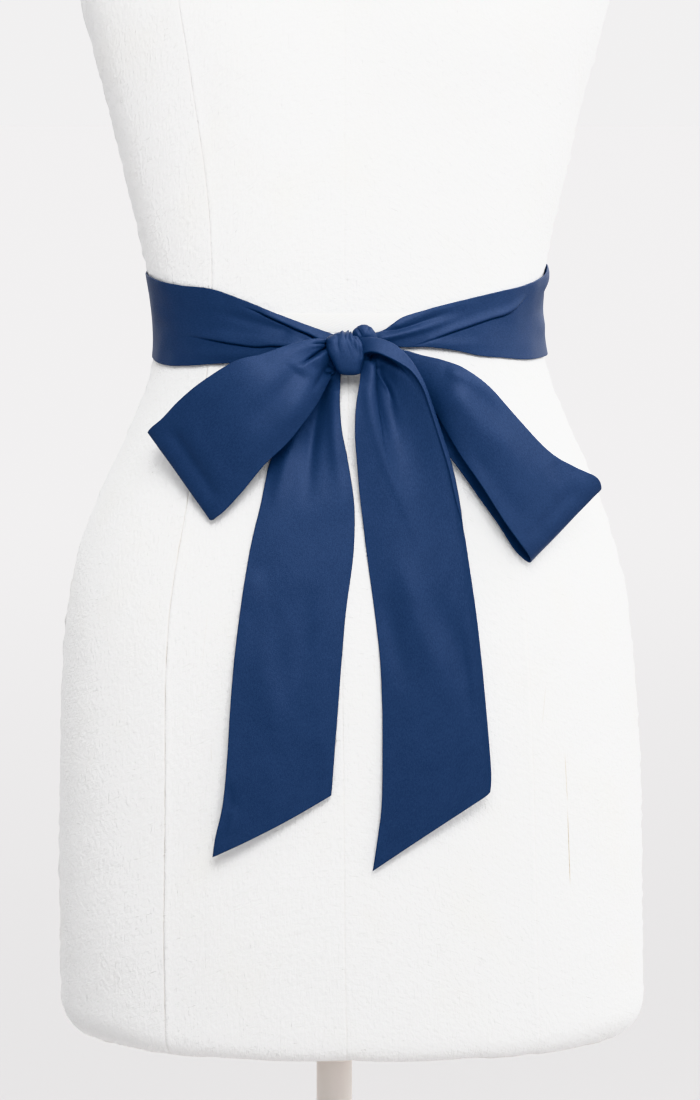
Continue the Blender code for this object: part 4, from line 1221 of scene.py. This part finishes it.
TAIL_LEFT_FOLDS = [
    Fold("groove", ((-14.0, -26.0), (-18.5, -42.0), (-22.8, -62.2), (-24.6, -83.2),
        (-26.0, -111.0)), 3.0, 4.6, 0.05, 0.5),
    Fold("ridge", ((-8.4, -34.0), (-9.5, -45.7), (-8.8, -64.3), (-7.2, -83.0),
        (-6.0, -107.0)), 1.8, 4.2, 0.05, 0.5),
    Fold("ridge", ((-30.0, -56.0), (-36.4, -72.0), (-42.0, -92.0), (-48.0, -112.0)), 1.8, 4.6, 0.1, 0.5),
    Fold("ridge", ((-55.0, -140.0), (-58.5, -157.0), (-52.6, -172.0)), 0.9, 7.0, 0.4, 0.5),
    Fold("groove", ((-23.0, -148.0), (-25.8, -172.0), (-28.2, -194.4),
        (-32.8, -218.0)), 1.2, 7.0, 0.4, 0.5),
    Fold("ridge", ((-50.2, -180.2), (-50.3, -208.3), (-45.6, -231.8), (-43.4, -260.0)), 1.1, 8.0, 0.4, 0.4),
    Fold("groove", ((-75.0, -272.0), (-72.5, -281.0), (-74.0, -293.0)), 0.8, 3.2, 0.3, 0.4),
    Fold("ridge", ((-70.0, -284.0), (-72.0, -296.0), (-76.0, -306.0)), 0.6, 2.6, 0.3, 0.4),
    Fold("ridge", ((-16.0, -205.0), (-17.0, -235.0), (-20.0, -262.0)), 0.6, 6.0, 0.4, 0.4),
]


TAIL_LEFT_ALONG, TAIL_LEFT_ACROSS = 250, 84
CUT_SAG = 1.6
CUT_SAG_REACH = 14              # the higher, the closer to the cut the sag stays


def tail_end_sag(middle, depth):
    """Let the slanting cut belly down a little between its corners."""
    steps = np.linspace(0, 1, middle.shape[1])[None, :]
    down = np.linspace(0, 1, middle.shape[0])[:, None] ** CUT_SAG_REACH
    middle[..., 1] -= depth * np.sin(np.pi * steps) * down
    return middle


def satin_tail_left():
    """The left tail as a shell."""
    middle = strip_surface(TAIL_LEFT_ROWS, TAIL_LEFT_ALONG, TAIL_LEFT_ACROSS)[0]
    middle = with_folds(tail_end_sag(middle, CUT_SAG), TAIL_LEFT_FOLDS)
    return cloth_shell("satin_tail_left", middle + swelled(middle, TAIL_WAVE, 83))


tail_left = satin_tail_left()
dress(tail_left, SATIN)
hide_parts("sash_tail_left")

# %% [markdown]
# ## The right tail
#
# The right tail leaves the knot sideways and turns down over a soft corner, so its outer margin folds
# forward over itself like a hood. A ridge runs down its left strip, a deep hollow lies under the hood, and
# the folded margin thins out down the outer edge. One sheet holds it all: six guide lines cross it from the
# free left edge over the ridge, the hollow and the wall of the corner, round the fold, and back to the
# hood's free rim.

# %% The right tail's guide lines
FunnelRow = namedtuple("FunnelRow", "left ridge hollow wall fold rim")
TAIL_RIGHT_ROWS = [
    FunnelRow((3.6, -19.6, 104.0), (4.6, -17.4, 105.4), (5.6, -15.2, 105.0), (6.6, -11.6, 105.0),
              (5.4, -4.2, 107.4), (5.0, -13.6, 110.8)),
    FunnelRow((6.2, -22.2, 108.4), (12.4, -18.0, 110.2), (15.4, -16.8, 107.2), (18.6, -12.2, 109.6),
              (14.4, -3.6, 113.0), (13.0, -10.9, 116.8)),
    FunnelRow((6.0, -28.0, 111.8), (14.4, -23.0, 112.4), (17.6, -22.4, 107.8), (26.0, -15.2, 112.4),
              (25.2, -7.0, 116.0), (21.4, -13.5, 119.2)),
    FunnelRow((5.0, -34.0, 113.8), (14.2, -29.2, 113.8), (17.9, -28.8, 108.6), (33.2, -21.6, 114.4),
              (34.8, -15.2, 117.6), (30.4, -18.0, 119.9)),
    FunnelRow((4.0, -40.0, 114.8), (14.2, -35.0, 114.6), (18.3, -34.7, 109.6), (39.0, -28.6, 115.6),
              (42.2, -26.0, 118.2), (37.4, -23.0, 120.2)),
    FunnelRow((3.3, -46.0, 115.4), (14.6, -41.0, 115.2), (19.2, -40.7, 110.6), (43.6, -36.6, 116.4),
              (46.9, -36.6, 118.6), (43.6, -32.4, 120.3)),
    FunnelRow((3.0, -53.0, 115.8), (15.6, -48.6, 115.8), (20.8, -48.4, 111.8), (47.4, -46.0, 117.0),
              (50.7, -48.2, 118.8), (48.0, -44.8, 120.2)),
    FunnelRow((3.0, -63.0, 116.0), (17.6, -60.2, 116.4), (24.2, -60.0, 113.2), (52.2, -60.4, 117.8),
              (55.6, -63.0, 119.0), (53.3, -61.4, 120.2)),
    FunnelRow((4.3, -80.4, 116.0), (22.0, -80.0, 117.0), (31.6, -80.0, 115.2), (58.4, -80.4, 118.0),
              (61.3, -81.0, 119.4), (59.1, -80.4, 120.7)),
    FunnelRow((6.1, -100.6, 116.2), (27.0, -100.4, 117.8), (42.0, -100.4, 117.2), (62.6, -100.8, 118.6),
              (65.5, -101.2, 119.6), (63.8, -100.8, 120.6)),
    FunnelRow((8.4, -119.4, 116.8), (29.4, -119.2, 118.6), (49.0, -119.2, 118.8), (65.4, -119.4, 119.4),
              (68.0, -119.6, 120.2), (68.8, -119.4, 120.4)),
    FunnelRow((10.6, -137.6, 117.4), (31.4, -137.4, 119.6), (51.6, -137.4, 120.0), (67.6, -137.3, 120.6),
              (70.1, -137.4, 120.9), (71.7, -137.3, 121.1)),
    FunnelRow((14.8, -168.5, 119.6), (35.4, -168.6, 121.4), (55.8, -168.6, 121.8), (72.0, -168.5, 121.8),
              (74.8, -168.5, 122.0), (76.3, -168.5, 122.2)),
    FunnelRow((18.0, -196.0, 121.0), (39.0, -197.0, 122.6), (59.4, -197.6, 123.0), (75.6, -198.0, 122.8),
              (78.2, -198.0, 122.9), (79.7, -198.0, 123.0)),
    FunnelRow((19.3, -223.0, 121.8), (41.0, -224.4, 123.4), (61.8, -225.2, 123.8), (78.4, -226.0, 123.1),
              (80.9, -226.0, 123.2), (82.4, -226.0, 123.2)),
    FunnelRow((19.6, -252.0, 122.0), (42.0, -252.0, 123.6), (63.4, -251.6, 124.0), (80.6, -251.2, 123.2),
              (83.1, -251.0, 123.2), (84.6, -251.0, 123.2)),
    FunnelRow((19.2, -284.0, 122.0), (42.4, -277.0, 123.4), (64.4, -270.4, 123.8), (81.6, -265.6, 123.2),
              (84.1, -264.9, 123.2), (85.6, -264.4, 123.2)),
    FunnelRow((16.9, -305.0, 122.0), (41.0, -293.4, 123.2), (63.6, -282.8, 123.6), (81.6, -275.0, 123.2),
              (84.1, -273.6, 123.2), (85.6, -272.6, 123.2)),
    FunnelRow((13.7, -326.6, 122.0), (38.0, -310.0, 123.0), (61.4, -294.3, 123.4), (81.0, -281.4, 123.2),
              (83.7, -279.2, 123.2), (85.1, -277.8, 123.2)),
]
TAIL_RIGHT_FOLDS = [
    Fold("ridge", ((10.7, -29.1), (12.4, -45.4), (15.6, -59.3), (20.8, -75.6), (28.3, -94.3),
        (36.9, -115.3), (43.9, -134.0)), 0.8, 3.2, 0.1, 0.5),
    Fold("lip", ((24.6, -86.0), (22.9, -77.6), (20.5, -67.3), (18.7, -55.8), (17.2, -46.2), (15.9, -35.3),
        (15.8, -30.1), (16.0, -22.0), (15.4, -15.0)), 0.5, 1.8, 0.6, 0.12),
    Fold("groove", ((17.6, -17.0), (18.4, -26.0), (19.0, -35.3), (20.6, -46.2), (22.8, -57.0),
        (26.0, -70.0)), 0.8, 2.4, 0.1, 0.5),
    Fold("groove", ((21.0, -20.0), (22.8, -32.0), (24.4, -44.0), (26.8, -58.0),
        (30.4, -76.0)), 1.9, 4.0, 0.2, 0.5),
    Fold("groove", ((10.4, -14.8), (13.6, -13.3), (17.0, -13.5), (20.2, -15.1), (24.6, -17.6),
        (30.0, -20.2), (35.4, -23.8), (38.4, -27.0), (40.7, -30.4), (43.0, -35.0),
        (45.4, -40.4)), 3.8, 1.9, 0.02, 0.35),
    Fold("groove", ((17.0, -19.0), (18.3, -25.2), (20.2, -29.4), (21.8, -32.5), (24.1, -37.3),
        (26.6, -44.0)), 1.6, 1.3, 0.1, 0.5),
    Fold("ridge", ((20.6, -19.0), (22.9, -28.1), (25.9, -34.2), (28.3, -43.2),
        (31.0, -54.0)), 0.7, 1.8, 0.5, 0.6),
    Fold("ridge", ((24.0, -128.0), (34.0, -148.0), (38.6, -168.5), (46.3, -187.2), (54.5, -208.3),
        (59.1, -230.0)), 1.6, 7.5, 0.3, 0.4),
    Fold("groove", ((21.8, -145.0), (22.8, -168.5), (27.5, -188.0), (33.5, -208.0),
        (35.9, -228.0)), 1.2, 7.0, 0.3, 0.4),
    Fold("groove", ((48.0, -150.0), (59.0, -175.5), (69.0, -198.9), (72.4, -217.7),
        (71.2, -244.0)), 1.0, 7.0, 0.3, 0.4),
    Fold("ridge", ((60.0, -238.0), (56.0, -256.0), (50.0, -272.0)), 0.5, 7.0, 0.4, 0.4),
]
print("right tail:", len(TAIL_RIGHT_ROWS), "rows of six guides")

# %% The right tail
TAIL_RIGHT_ALONG, TAIL_RIGHT_ACROSS = 270, 78
BEND_END = 2.2                  # a bend's places: 0 at the wall, 1 at the fold and this at the rim
BENDS = np.linspace(0, BEND_END, 30)[1:]
FOLD_PUSH = 0.25                # how much further than its guide the fold runs on ahead, to be round
PUSH_AT, PUSH_SPREAD = 0.6, 0.4
WALL_FADE = 0.125               # the tail's folds fade over this share of its width before the wall


def satin_tail_right():
    """The right tail and its hood as one folded shell."""
    guides = np.array([list(row) for row in TAIL_RIGHT_ROWS])
    lines = curve_through(range(len(guides)), guides, row_places(len(guides), TAIL_RIGHT_ALONG))
    open_shares = spread_shares(TAIL_RIGHT_ACROSS, STRIP_WIDTH)[:1 - len(EDGE_SPACES)]
    open_shares = np.append(open_shares, 1.0)
    push = FOLD_PUSH * np.exp(-(((BENDS - PUSH_AT) / PUSH_SPREAD) ** 2))[:, None]
    rows = []
    for line in lines:
        wall, fold, rim = line[3:]
        length = lengths_along(line[:4], 0)
        opened = curve_through(length, line[:4], open_shares * length[-1])
        ahead = opened[-1] - opened[-3]
        ahead = ahead / np.linalg.norm(ahead) * np.linalg.norm(fold - wall)
        bent = curve_through([0, 1, BEND_END], [wall, fold, rim], BENDS)
        rows.append(np.concatenate([opened, bent + push * ahead]))
    middle = np.array(rows)
    tail = middle[:, :len(open_shares)]
    fade = smooth_step((1 - open_shares) / WALL_FADE)[None, :, None]
    tail[:] = tail * (1 - fade) + with_folds(tail, TAIL_RIGHT_FOLDS) * fade
    tail += swelled(middle, TAIL_WAVE, 84)[:, :len(open_shares)] * fade
    return cloth_shell("satin_tail_right", middle, TAIL_RIGHT_THICKNESS)


tail_right = satin_tail_right()
dress(tail_right, SATIN)
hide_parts("sash_tail_right", "sash_tail_hood")

# %% [markdown]
# ## The knot
#
# The knot is the strip's own turn, pulled tight over everything that passes under it. It starts as a sphere
# and is drawn to the reach it has at each height, squarer than a ball, and then gets the gathers of the
# pulled cloth: fine creases that run down from the top edge and spread. The top edge is ragged where the
# gathers end.

# %% The knot
KnotRow = namedtuple("KnotRow", "up left right")
KNOT_ROWS = [
    KnotRow(-25.6, -5.2, 5.4),
    KnotRow(-24.2, -6.6, 6.4),
    KnotRow(-22.6, -8.0, 6.8),
    KnotRow(-19.2, -9.8, 7.4),
    KnotRow(-15.0, -11.8, 8.5),
    KnotRow(-11.0, -13.8, 8.4),
    KnotRow(-6.0, -14.2, 7.4),
    KnotRow(-2.2, -13.2, 4.8),
    KnotRow(-0.8, -10.4, 3.6),
    KnotRow(0.8, -6.8, 3.0),
]
KNOT_BACK = 94.6
KNOT_FRONT = 118.4
KNOT_WIDEST = 109.0
KNOT_NARROWING = 0.35
KNOT_FLATNESS = 0.67
KNOT_SQUARENESS = 3.4
KNOT_END_FULLNESS = 1.6
KNOT_FOLDS = [
    Fold("groove", ((-4.0, 1.0), (-2.6, -3.4), (-0.8, -9.0), (0.2, -16.0)), 0.6, 0.8, 0.02, 0.6),
    Fold("groove", ((-1.2, 1.4), (0.0, -3.1), (1.8, -6.2), (3.2, -9.1), (4.4, -14.6)), 1.4, 1.0, 0.02, 0.5),
    Fold("groove", ((1.0, 1.0), (1.8, -2.0), (3.9, -9.1), (5.0, -15.0)), 0.9, 0.5, 0.02, 0.5),
    Fold("groove", ((2.3, 0.8), (4.1, -3.1), (5.8, -5.9), (6.9, -12.8),
        (7.0, -18.3)), 2.4, 0.6, 0.02, 0.25),
    Fold("ridge", ((2.9, -3.0), (4.9, -6.4), (5.8, -12.0), (6.0, -17.0)), 0.4, 0.9, 0.1, 0.3),
    Fold("ridge", ((-10.6, -2.0), (-10.9, -9.0), (-8.6, -18.0)), 0.4, 2.4, 0.2, 0.4),
    Fold("ridge", ((-3.6, -1.0), (-3.8, -8.0), (-3.0, -19.0)), 0.4, 2.2, 0.2, 0.4),
    Fold("groove", ((-7.6, -0.4), (-7.8, -6.0), (-6.0, -13.0)), 0.6, 1.1, 0.02, 0.5),
]
Jag = namedtuple("Jag", "across height width")
KNOT_JAGS = [
    Jag(-4.6, 1.0, 1.0),
    Jag(-3.1, -0.7, 0.5),
    Jag(-1.1, 1.7, 0.7),
    Jag(-0.35, -0.7, 0.4),
    Jag(0.4, 0.5, 0.4),
]
KNOT_MIDDLE_UP = -11.5
KNOT_TOP, KNOT_TOP_FADE = -4.0, 6.0         # the ragged edge starts at this height and grows over the next
KNOT_FACE, KNOT_FACE_FADE = 100.0, 8.0      # the folds start this far out and deepen over the next


def knot_surface(ball):
    """The ball's points pulled to the knot's sizes, in the tables' millimetres."""
    ups = np.array([row.up for row in KNOT_ROWS])
    height = np.sign(ball[:, 2]) * np.abs(ball[:, 2]) ** KNOT_FLATNESS
    up = (ups[0] + ups[-1]) / 2 + height * (ups[-1] - ups[0]) / 2
    reaches = curve_through(ups, [(row.left, row.right) for row in KNOT_ROWS], np.clip(up, ups[0], ups[-1]))
    left, right = reaches[:, 0], reaches[:, 1]
    round_it = np.arctan2(ball[:, 0], -ball[:, 1])
    side, ahead = np.sin(round_it), np.cos(round_it)
    swell = (np.abs(side) ** KNOT_SQUARENESS + np.abs(ahead) ** KNOT_SQUARENESS) ** (-1 / KNOT_SQUARENESS)
    fullness = np.hypot(ball[:, 0], ball[:, 1]) ** KNOT_FLATNESS
    depth = np.where(ahead > 0, KNOT_FRONT - KNOT_WIDEST, KNOT_WIDEST - KNOT_BACK)
    out = KNOT_WIDEST + ahead * swell * depth * fullness
    narrower = 1 - KNOT_NARROWING * np.maximum(0, (KNOT_WIDEST - out) / (KNOT_WIDEST - KNOT_BACK))
    width = (right - left) * np.minimum(1, fullness * KNOT_END_FULLNESS) * narrower
    return np.stack([(left + right) / 2 + side * swell * width / 2, up, out], -1)


def shaped_ball(name, columns, rings, shape):
    """A sphere primitive whose points are pulled to a shape, with a flat map of its own size."""
    clear_selection()
    bpy.ops.mesh.primitive_uv_sphere_add(segments=columns, ring_count=rings, radius=1.0)
    piece = bpy.context.object
    ball = np.empty(len(piece.data.vertices) * 3)
    piece.data.vertices.foreach_get("co", ball)
    points = shape(ball.reshape(-1, 3))
    set_shape(piece, name, points, points[:, :2])
    mend(piece, gap_mm=0.001)
    return piece


def creased(points, middle, folds, face, face_fade):
    """Points of a ball moved away from its middle by folds that lie on its front."""
    outward = points - middle
    outward /= np.linalg.norm(outward, axis=1, keepdims=True)
    relief = fold_relief(points[:, :2], folds) * smooth_step((points[:, 2] - face) / face_fade)
    return points + outward * relief[:, None]


def knot_shape(ball):
    """The knot with its gathers and its ragged top edge."""
    points = knot_surface(ball)
    middle = ((points[:, 0].min() + points[:, 0].max()) / 2, KNOT_MIDDLE_UP, KNOT_WIDEST)
    points = creased(points, middle, KNOT_FOLDS, KNOT_FACE, KNOT_FACE_FADE)
    top = smooth_step((points[:, 1] - KNOT_TOP) / KNOT_TOP_FADE)
    for jag in KNOT_JAGS:
        near = np.exp(-(((points[:, 0] - jag.across) / jag.width) ** 2))
        points[:, 1] += jag.height * near * top
    return points


knot = shaped_ball("satin_knot", columns=150, rings=110, shape=knot_shape)
dress(knot, SATIN)
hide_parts("sash_knot")

# %% [markdown]
# Over the knot's top corner the strip shows once more, as a small roll that comes from behind and dives
# under the tail. It is a second, smaller ball with slanting creases.

# %% The roll over the knot's corner
ROLL_MIDDLE = (8.9, -0.9, 103.6)
ROLL_SIZE = (7.5, 5.6, 4.8)
ROLL_LEAN = 3.0
ROLL_FACE, ROLL_FACE_FADE = 101.0, 5.0
ROLL_FOLDS = [
    Fold("groove", ((3.4, 3.4), (5.4, 0.6), (7.0, -3.0)), 0.9, 0.7, 0.02, 0.3),
    Fold("groove", ((11.4, 4.2), (11.4, 2.2), (11.8, -1.0)), 0.8, 0.5, 0.02, 0.5),
    Fold("ridge", ((6.6, 4.6), (8.6, 1.8), (9.6, -3.0)), 0.5, 1.2, 0.05, 0.3),
]


def roll_shape(ball):
    """The roll: an egg that leans to the right, creased on its front."""
    points = ball[:, [0, 2, 1]] * (1.0, 1.0, -1.0) * ROLL_SIZE + ROLL_MIDDLE
    lean = (points[:, 0] - ROLL_MIDDLE[0]) / ROLL_SIZE[0]
    points[:, 1] -= ROLL_LEAN * np.maximum(lean, 0) ** 2
    return creased(points, ROLL_MIDDLE, ROLL_FOLDS, ROLL_FACE, ROLL_FACE_FADE)


roll = shaped_ball("satin_knot_roll", columns=90, rings=60, shape=roll_shape)
dress(roll, SATIN)
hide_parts("sash_knot_turn")

# %% [markdown]
# ## The stand
#
# The form stands on a painted steel tube in a round foot. Each is turned, so a ring of points is set on the
# piece's profile and spun round the pole. The paint is matte, grey with a touch of beige, and slightly
# uneven.

# %% Matte paint on steel
STAND_GREY = (0.785, 0.730, 0.688, 1.0)
STAND_WORN = (0.70, 0.650, 0.61, 1.0)


def matte_paint():
    """Sprayed matte paint with a fine orange peel and faint rubbed places."""
    material, shader = new_material("matte_paint", Roughness=0.55, Specular_IOR_Level=0.35)
    spot = add(material, "TexCoord")
    cloudy = add(material, "TexNoise", {"Scale": 14.0, "Detail": 5.0, "Roughness": 0.6})
    join(material, spot, "Object", cloudy, "Vector")
    share = ranged(material, cloudy, "Fac", low=0.45, high=0.75, to_high=0.6)
    tone = mixed(material, (share, 0), STAND_GREY, STAND_WORN)
    join(material, tone, 2, shader, "Base Color")
    duller = ranged(material, cloudy, "Fac", low=0.3, high=0.7, to_low=0.48, to_high=0.62)
    join(material, duller, 0, shader, "Roughness")
    peel = add(material, "TexNoise", {"Scale": 900.0, "Detail": 1.0})
    join(material, spot, "Object", peel, "Vector")
    bump(material, shader, peel, "Fac", depth_mm=0.03, strength=0.4)
    return material


PAINT = matte_paint()
print("matte paint:", len(PAINT.node_tree.nodes), "nodes")

# %% Turned pieces
POLE_RADIUS = 11.25
POLE_GAP = 0.3
FOOT_RADIUS = 225.0
FOOT_THICKNESS = 9.0
BOSS_RADIUS = 21.0
BOSS_HEIGHT = 34.0
COLLAR_RADIUS = 48.0
COLLAR_THICKNESS = 6.0
SOCKET_RADIUS = 17.0
SOCKET_DROP = 12.0
SPIN_STEPS = 128
FOOT_BEVEL = 3.0
BOSS_FLARE = [(14, 0), (4, 2), (0, 7)]      # the weld between foot and boss: aside and up
COLLAR_FILLET = 3.0
CORNER_ANGLE = math.radians(30)
SMOOTH_ANGLE = math.radians(35)


def turned(name, profile, edge):
    """A closed profile of (radius, height) in millimetres, spun round the pole, its corners rounded."""
    clear_selection()
    bpy.ops.mesh.primitive_circle_add(vertices=len(profile), radius=1.0)
    piece = bpy.context.object
    piece.name = name
    piece.data.name = name
    for point, (radius, height) in zip(piece.data.vertices, profile):
        point.co = (radius * MM, 0.0, height * MM)
    bpy.ops.object.mode_set(mode="EDIT")
    bpy.ops.mesh.select_all(action="SELECT")
    bpy.ops.mesh.spin(steps=SPIN_STEPS, angle=2 * math.pi, center=(0, 0, 0), axis=(0, 0, 1))
    bpy.ops.object.mode_set(mode="OBJECT")
    mend(piece, gap_mm=0.01)
    corners = piece.modifiers.new("corners", "BEVEL")
    corners.width = edge * MM
    corners.segments = 3
    corners.limit_method = "ANGLE"
    corners.angle_limit = CORNER_ANGLE
    bpy.ops.object.modifier_apply(modifier=corners.name)
    bpy.ops.object.shade_smooth_by_angle(angle=SMOOTH_ANGLE)
    return piece


bore = POLE_RADIUS + POLE_GAP
foot = turned("steel_foot", [
    (0, 0),
    (FOOT_RADIUS, 0),
    (FOOT_RADIUS, FOOT_THICKNESS - FOOT_BEVEL),
    *[(BOSS_RADIUS + aside, FOOT_THICKNESS + rise) for aside, rise in BOSS_FLARE],
    (BOSS_RADIUS, BOSS_HEIGHT),
    (bore, BOSS_HEIGHT),
    (bore, FOOT_THICKNESS),
    (0, FOOT_THICKNESS),
], 1.0)
dress(foot, PAINT)
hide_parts("form_base")

underside = WAIST_HEIGHT + HEM_UP - POLE_GAP
pole = turned("steel_pole", [
    (0, FOOT_THICKNESS + POLE_GAP),
    (POLE_RADIUS, FOOT_THICKNESS + POLE_GAP),
    (POLE_RADIUS, underside),
    (0, underside),
], 0.6)
dress(pole, PAINT)
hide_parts("form_pole")

collar = turned("steel_collar", [
    (bore, underside),
    (bore, underside - COLLAR_THICKNESS - SOCKET_DROP),
    (SOCKET_RADIUS, underside - COLLAR_THICKNESS - SOCKET_DROP),
    (SOCKET_RADIUS, underside - COLLAR_THICKNESS - COLLAR_FILLET),
    (SOCKET_RADIUS + COLLAR_FILLET, underside - COLLAR_THICKNESS),
    (COLLAR_RADIUS, underside - COLLAR_THICKNESS),
    (COLLAR_RADIUS, underside),
], 0.8)
dress(collar, PAINT)
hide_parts("form_collar")

# %% [markdown]
# ## Floor, light and camera
#
# The floor is a wide pale disc, painted darker near the stand and paler far away as a painted fall-off of
# light. The light is a soft dome, brighter from the right and from behind as in a room with white walls, and
# two softboxes, one in front and one at the right, so the form's left flank falls off a little and the loops
# throw a faint shadow. The camera stands three metres off, a little above the waist, and looks slightly
# down.
# The view's neutral curve keeps dark cloth deep and lets white linen come close to white without clipping.

# %% Floor
FLOOR_RADIUS = 60.0
# Painted light: the floor is painted darker near the stand and paler far away, a fall-off of light in its
# colour.
FLOOR_PAINTED_LIGHT_SPAN = (1.6, 9.0)        # metres from the pole between which the floor grows paler
FLOOR_SIDES = 96
FLOOR_NEAR_PAINTED_SHADE = (0.542, 0.534, 0.538, 1.0)
FLOOR_FAR_PAINTED_LIGHT = (0.732, 0.723, 0.728, 1.0)


def pale_floor():
    """A wide disc, painted darker near the stand and paler far away: a painted fall-off of light."""
    material, shader = new_material("pale_floor", Roughness=0.9, Specular_IOR_Level=0.1)
    spot = add(material, "TexCoord")
    length = add(material, "VectorMath", operation="LENGTH")
    join(material, spot, "Object", length, 0)
    # painted light: the floor's colour grows paler with distance from the stand
    far = ranged(material, length, "Value", *FLOOR_PAINTED_LIGHT_SPAN)
    tone = mixed(material, (far, 0), FLOOR_NEAR_PAINTED_SHADE, FLOOR_FAR_PAINTED_LIGHT)
    join(material, tone, 2, shader, "Base Color")
    clear_selection()
    bpy.ops.mesh.primitive_circle_add(vertices=FLOOR_SIDES, radius=FLOOR_RADIUS, fill_type="NGON")
    disc = bpy.context.object
    disc.name = "pale_floor"
    disc.data.materials.append(material)
    return disc


floor = pale_floor()
print(floor.name, FLOOR_RADIUS, "m in radius")

# %% Light
Lamp = namedtuple("Lamp", "name towards distance side spread watts aim")
WAIST_MIDDLE = (0.0, 0.0, WAIST_HEIGHT * MM)
LAMPS = [
    Lamp("front_softbox", (0.08, -0.85, 0.50), 1.5, 0.8, 70.0, 4.7, 1.16),
    Lamp("side_softbox", (0.80, 0.05, 0.75), 2.0, 0.9, 180.0, 21.0, 1.03),
]
LAMP_COLOUR = (1.0, 0.995, 0.985)
DOME_COLOUR = (1.0, 0.998, 0.995, 1.0)
DOME_LEVELS = {"X": 1.42, "Y": 1.88, "Z": 1.08}      # brightness straight to the right, behind and above
SKY_SEEN = (1.062, 1.052, 1.055, 1.0)


def soft_dome():
    """The world: brighter to the right, behind and above, and one pale tone where the camera sees it."""
    sky = bpy.data.worlds.new("soft_dome")
    bpy.context.scene.world = sky
    sky.use_nodes = True
    nodes = sky.node_tree.nodes
    shine = nodes["Background"]
    shine.inputs["Color"].default_value = DOME_COLOUR
    spot = add(sky, "TexCoord")
    direction = add(sky, "SeparateXYZ")
    join(sky, spot, "Generated", direction, "Vector")
    parts = []
    for axis, level in DOME_LEVELS.items():
        ahead = maths(sky, "MAXIMUM", (direction, axis), 0.0)
        parts.append((maths(sky, "MULTIPLY", (ahead, 0), level), 0))
    across_and_deep = maths(sky, "ADD", parts[0], parts[1])
    total = maths(sky, "ADD", (across_and_deep, 0), parts[2])
    join(sky, total, 0, shine, "Strength")
    seen = add(sky, "Background", {"Color": SKY_SEEN})
    path = add(sky, "LightPath")
    choose = add(sky, "MixShader")
    join(sky, path, "Is Camera Ray", choose, "Fac")
    join(sky, shine, "Background", choose, 1)
    join(sky, seen, "Background", choose, 2)
    join(sky, choose, "Shader", nodes["World Output"], "Surface")


def softbox(spec):
    """A square lamp, unseen itself, off the waist in its direction and aimed at a height of the form."""
    place = Vector(WAIST_MIDDLE) + Vector(spec.towards).normalized() * spec.distance
    back = place - Vector((0.0, 0.0, spec.aim))
    clear_selection()
    bpy.ops.object.light_add(type="AREA", location=place, rotation=back.to_track_quat("Z", "Y").to_euler())
    box = bpy.context.object
    box.name = spec.name
    box.data.shape = "SQUARE"
    box.data.size = spec.side
    box.data.spread = math.radians(spec.spread)
    box.data.energy = spec.watts
    box.data.color = LAMP_COLOUR
    box.visible_camera = False
    print(spec.name, [round(value, 2) for value in box.location])


soft_dome()
for spec in LAMPS:
    softbox(spec)

# %% Camera
CAMERA_PLACE = (0.010, -3.0, 1.210)
CAMERA_TILT = math.radians(90 - 6.153)
PICTURE = (700, 1100)
FOCAL_PIXELS = 4800.0
SENSOR = 36.0

bpy.ops.object.camera_add(location=CAMERA_PLACE, rotation=(CAMERA_TILT, 0.0, 0.0))
camera = bpy.context.object
camera.name = "camera"
camera.data.sensor_width = SENSOR
camera.data.lens = SENSOR * FOCAL_PIXELS / max(PICTURE)
camera.data.clip_end = 500.0
bpy.context.scene.camera = camera
bpy.context.scene.view_settings.view_transform = "Khronos PBR Neutral"
print("lens:", round(camera.data.lens, 1), "mm")
